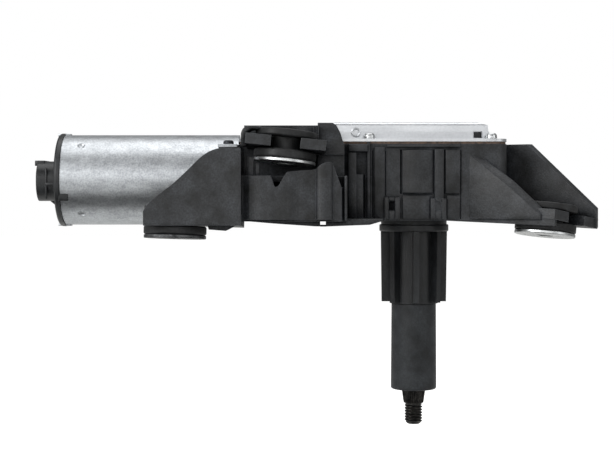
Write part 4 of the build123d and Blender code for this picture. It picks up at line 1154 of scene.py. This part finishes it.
def shaft_radius(turn, z):
    """Radius in millimetres of the knurled, relieved and threaded end."""
    if z > CONE_BOTTOM:
        share = (CONE_TOP - z) / (CONE_TOP - CONE_BOTTOM)
        tooth = abs((turn / (2 * math.pi) * KNURL_TEETH) % 1 - 0.5) * 2
        depth = KNURL_DEPTH if share > KNURL_START else 0.0
        return CONE_TOP_RADIUS + (CONE_BOTTOM_RADIUS - CONE_TOP_RADIUS) * share - depth * tooth
    if z > THREAD_TOP:
        return RELIEF_RADIUS
    phase = (z / THREAD_PITCH + turn / (2 * math.pi)) % 1
    height = min(max((abs(phase - 0.5) * 2 - ROOT_SHARE) / FLANK_SHARE, 0.0), 1.0)
    crest = CREST_RADIUS
    if z < CHAMFER_TOP:
        crest -= (CHAMFER_TOP - z) / (CHAMFER_TOP - SHAFT_END) * CHAMFER_DEPTH
    return min(ROOT_RADIUS + THREAD_HEIGHT * height, crest)


heights = [CONE_TOP, CONE_TOP - 0.45, CONE_TOP - 0.5]
heights += [CONE_TOP + (CONE_BOTTOM - CONE_TOP) * at / CONE_ROWS for at in range(1, CONE_ROWS)]
heights += [CONE_BOTTOM + 0.01, CONE_BOTTOM - 0.05, THREAD_TOP + 0.05]
heights += [
    THREAD_TOP + (SHAFT_END - THREAD_TOP) * at / THREAD_ROWS for at in range(THREAD_ROWS + 1)
]
end_rings = []
for z in sorted(set(heights), reverse=True):
    ring = []
    for step in range(SHAFT_STEPS):
        turn = -2 * math.pi * step / SHAFT_STEPS
        reach = shaft_radius(turn, z)
        ring.append((reach * math.cos(turn), reach * math.sin(turn), z))
    end_rings.append(ring)
shaft_end = bmesh.new()
join_rings(shaft_end, end_rings)
end_mesh = finished(shaft_end, "shaft_end", sharp_angle=32)
stand_for("wiper_shaft", end_mesh, "swing_shaft", phosphate, name="shaft_end")

# Inner pieces: bronze bushes, ground steel, acetal gears, copper, brass, laminations, ferrite,
# carbon and phenolic board, each with its own stock's grain. They show only when taken apart.
# Slot: material, roughness, metallic, dark and pale colour, grain's size and height in mm
stock = {
    "inner_steel": ("ground steel", 0.30, 1.0, "7c7d7e", "a2a3a4", 0.25, 0.004),
    "sintered_bronze": ("sintered bronze", 0.45, 1.0, "856339", "b08a58", 0.35, 0.03),
    "gear_plastic": ("natural acetal", 0.42, 0.0, "cfc8b3", "e2ddcc", 0.50, 0.010),
    "copper": ("enamelled copper", 0.35, 1.0, "96522f", "c87a50", 0.30, 0.015),
    "terminal_brass": ("tinned brass", 0.32, 1.0, "a8935c", "d0bd88", 0.25, 0.005),
    "lamination_steel": ("stacked lamination steel", 0.45, 1.0, "56585b", "7e8084", 0.30, 0.020),
    "ferrite": ("sintered ferrite", 0.55, 0.0, "232427", "38393d", 0.40, 0.020),
    "carbon": ("pressed carbon", 0.50, 0.0, "141416", "2a2a2d", 0.30, 0.020),
    "board": ("phenolic sheet", 0.45, 0.0, "5a381c", "7d522e", 0.80, 0.015),
    "grommet_rubber": ("EPDM seal rubber", 0.55, 0.0, "0e0e0f", "262728", 0.40, 0.030),
    "cap_plastic": ("inner polyester", 0.38, 0.0, "0d0e0f", "232527", 0.50, 0.025),
}
shown_by_pieces = {
    "gear_housing", "motor_can", "end_cap", "cover", "cover_gasket", "cover_screws", "ear_screws",
    "ribbed_collar", "shaft_sleeve", "wiper_shaft",
}
for side in ("left", "middle", "right"):
    shown_by_pieces |= {side + "_grommet", side + "_bush"}
STOCK_PATCH = 4
STOCK_SPECKS = 0.6
made_stock = {}
for part in frame["record"]["subparts"]:
    slot_name = part["material_slot"]
    if part["node"] in shown_by_pieces:
        continue
    if slot_name not in made_stock:
        name, rough, metal, dark, pale, size, height = stock[slot_name]
        material = new_material(name, metallic=metal)
        grain(material, size, height)
        sheen(material, STOCK_PATCH, rough * 0.8, rough * 1.2)
        mottle(material, STOCK_PATCH, dark, pale, STOCK_SPECKS)
        made_stock[slot_name] = material
    for holder in frame["nodes"][part["node"]].material_slots:
        holder.material = made_stock[slot_name]

bpy.context.scene.view_settings.view_transform = "Standard"
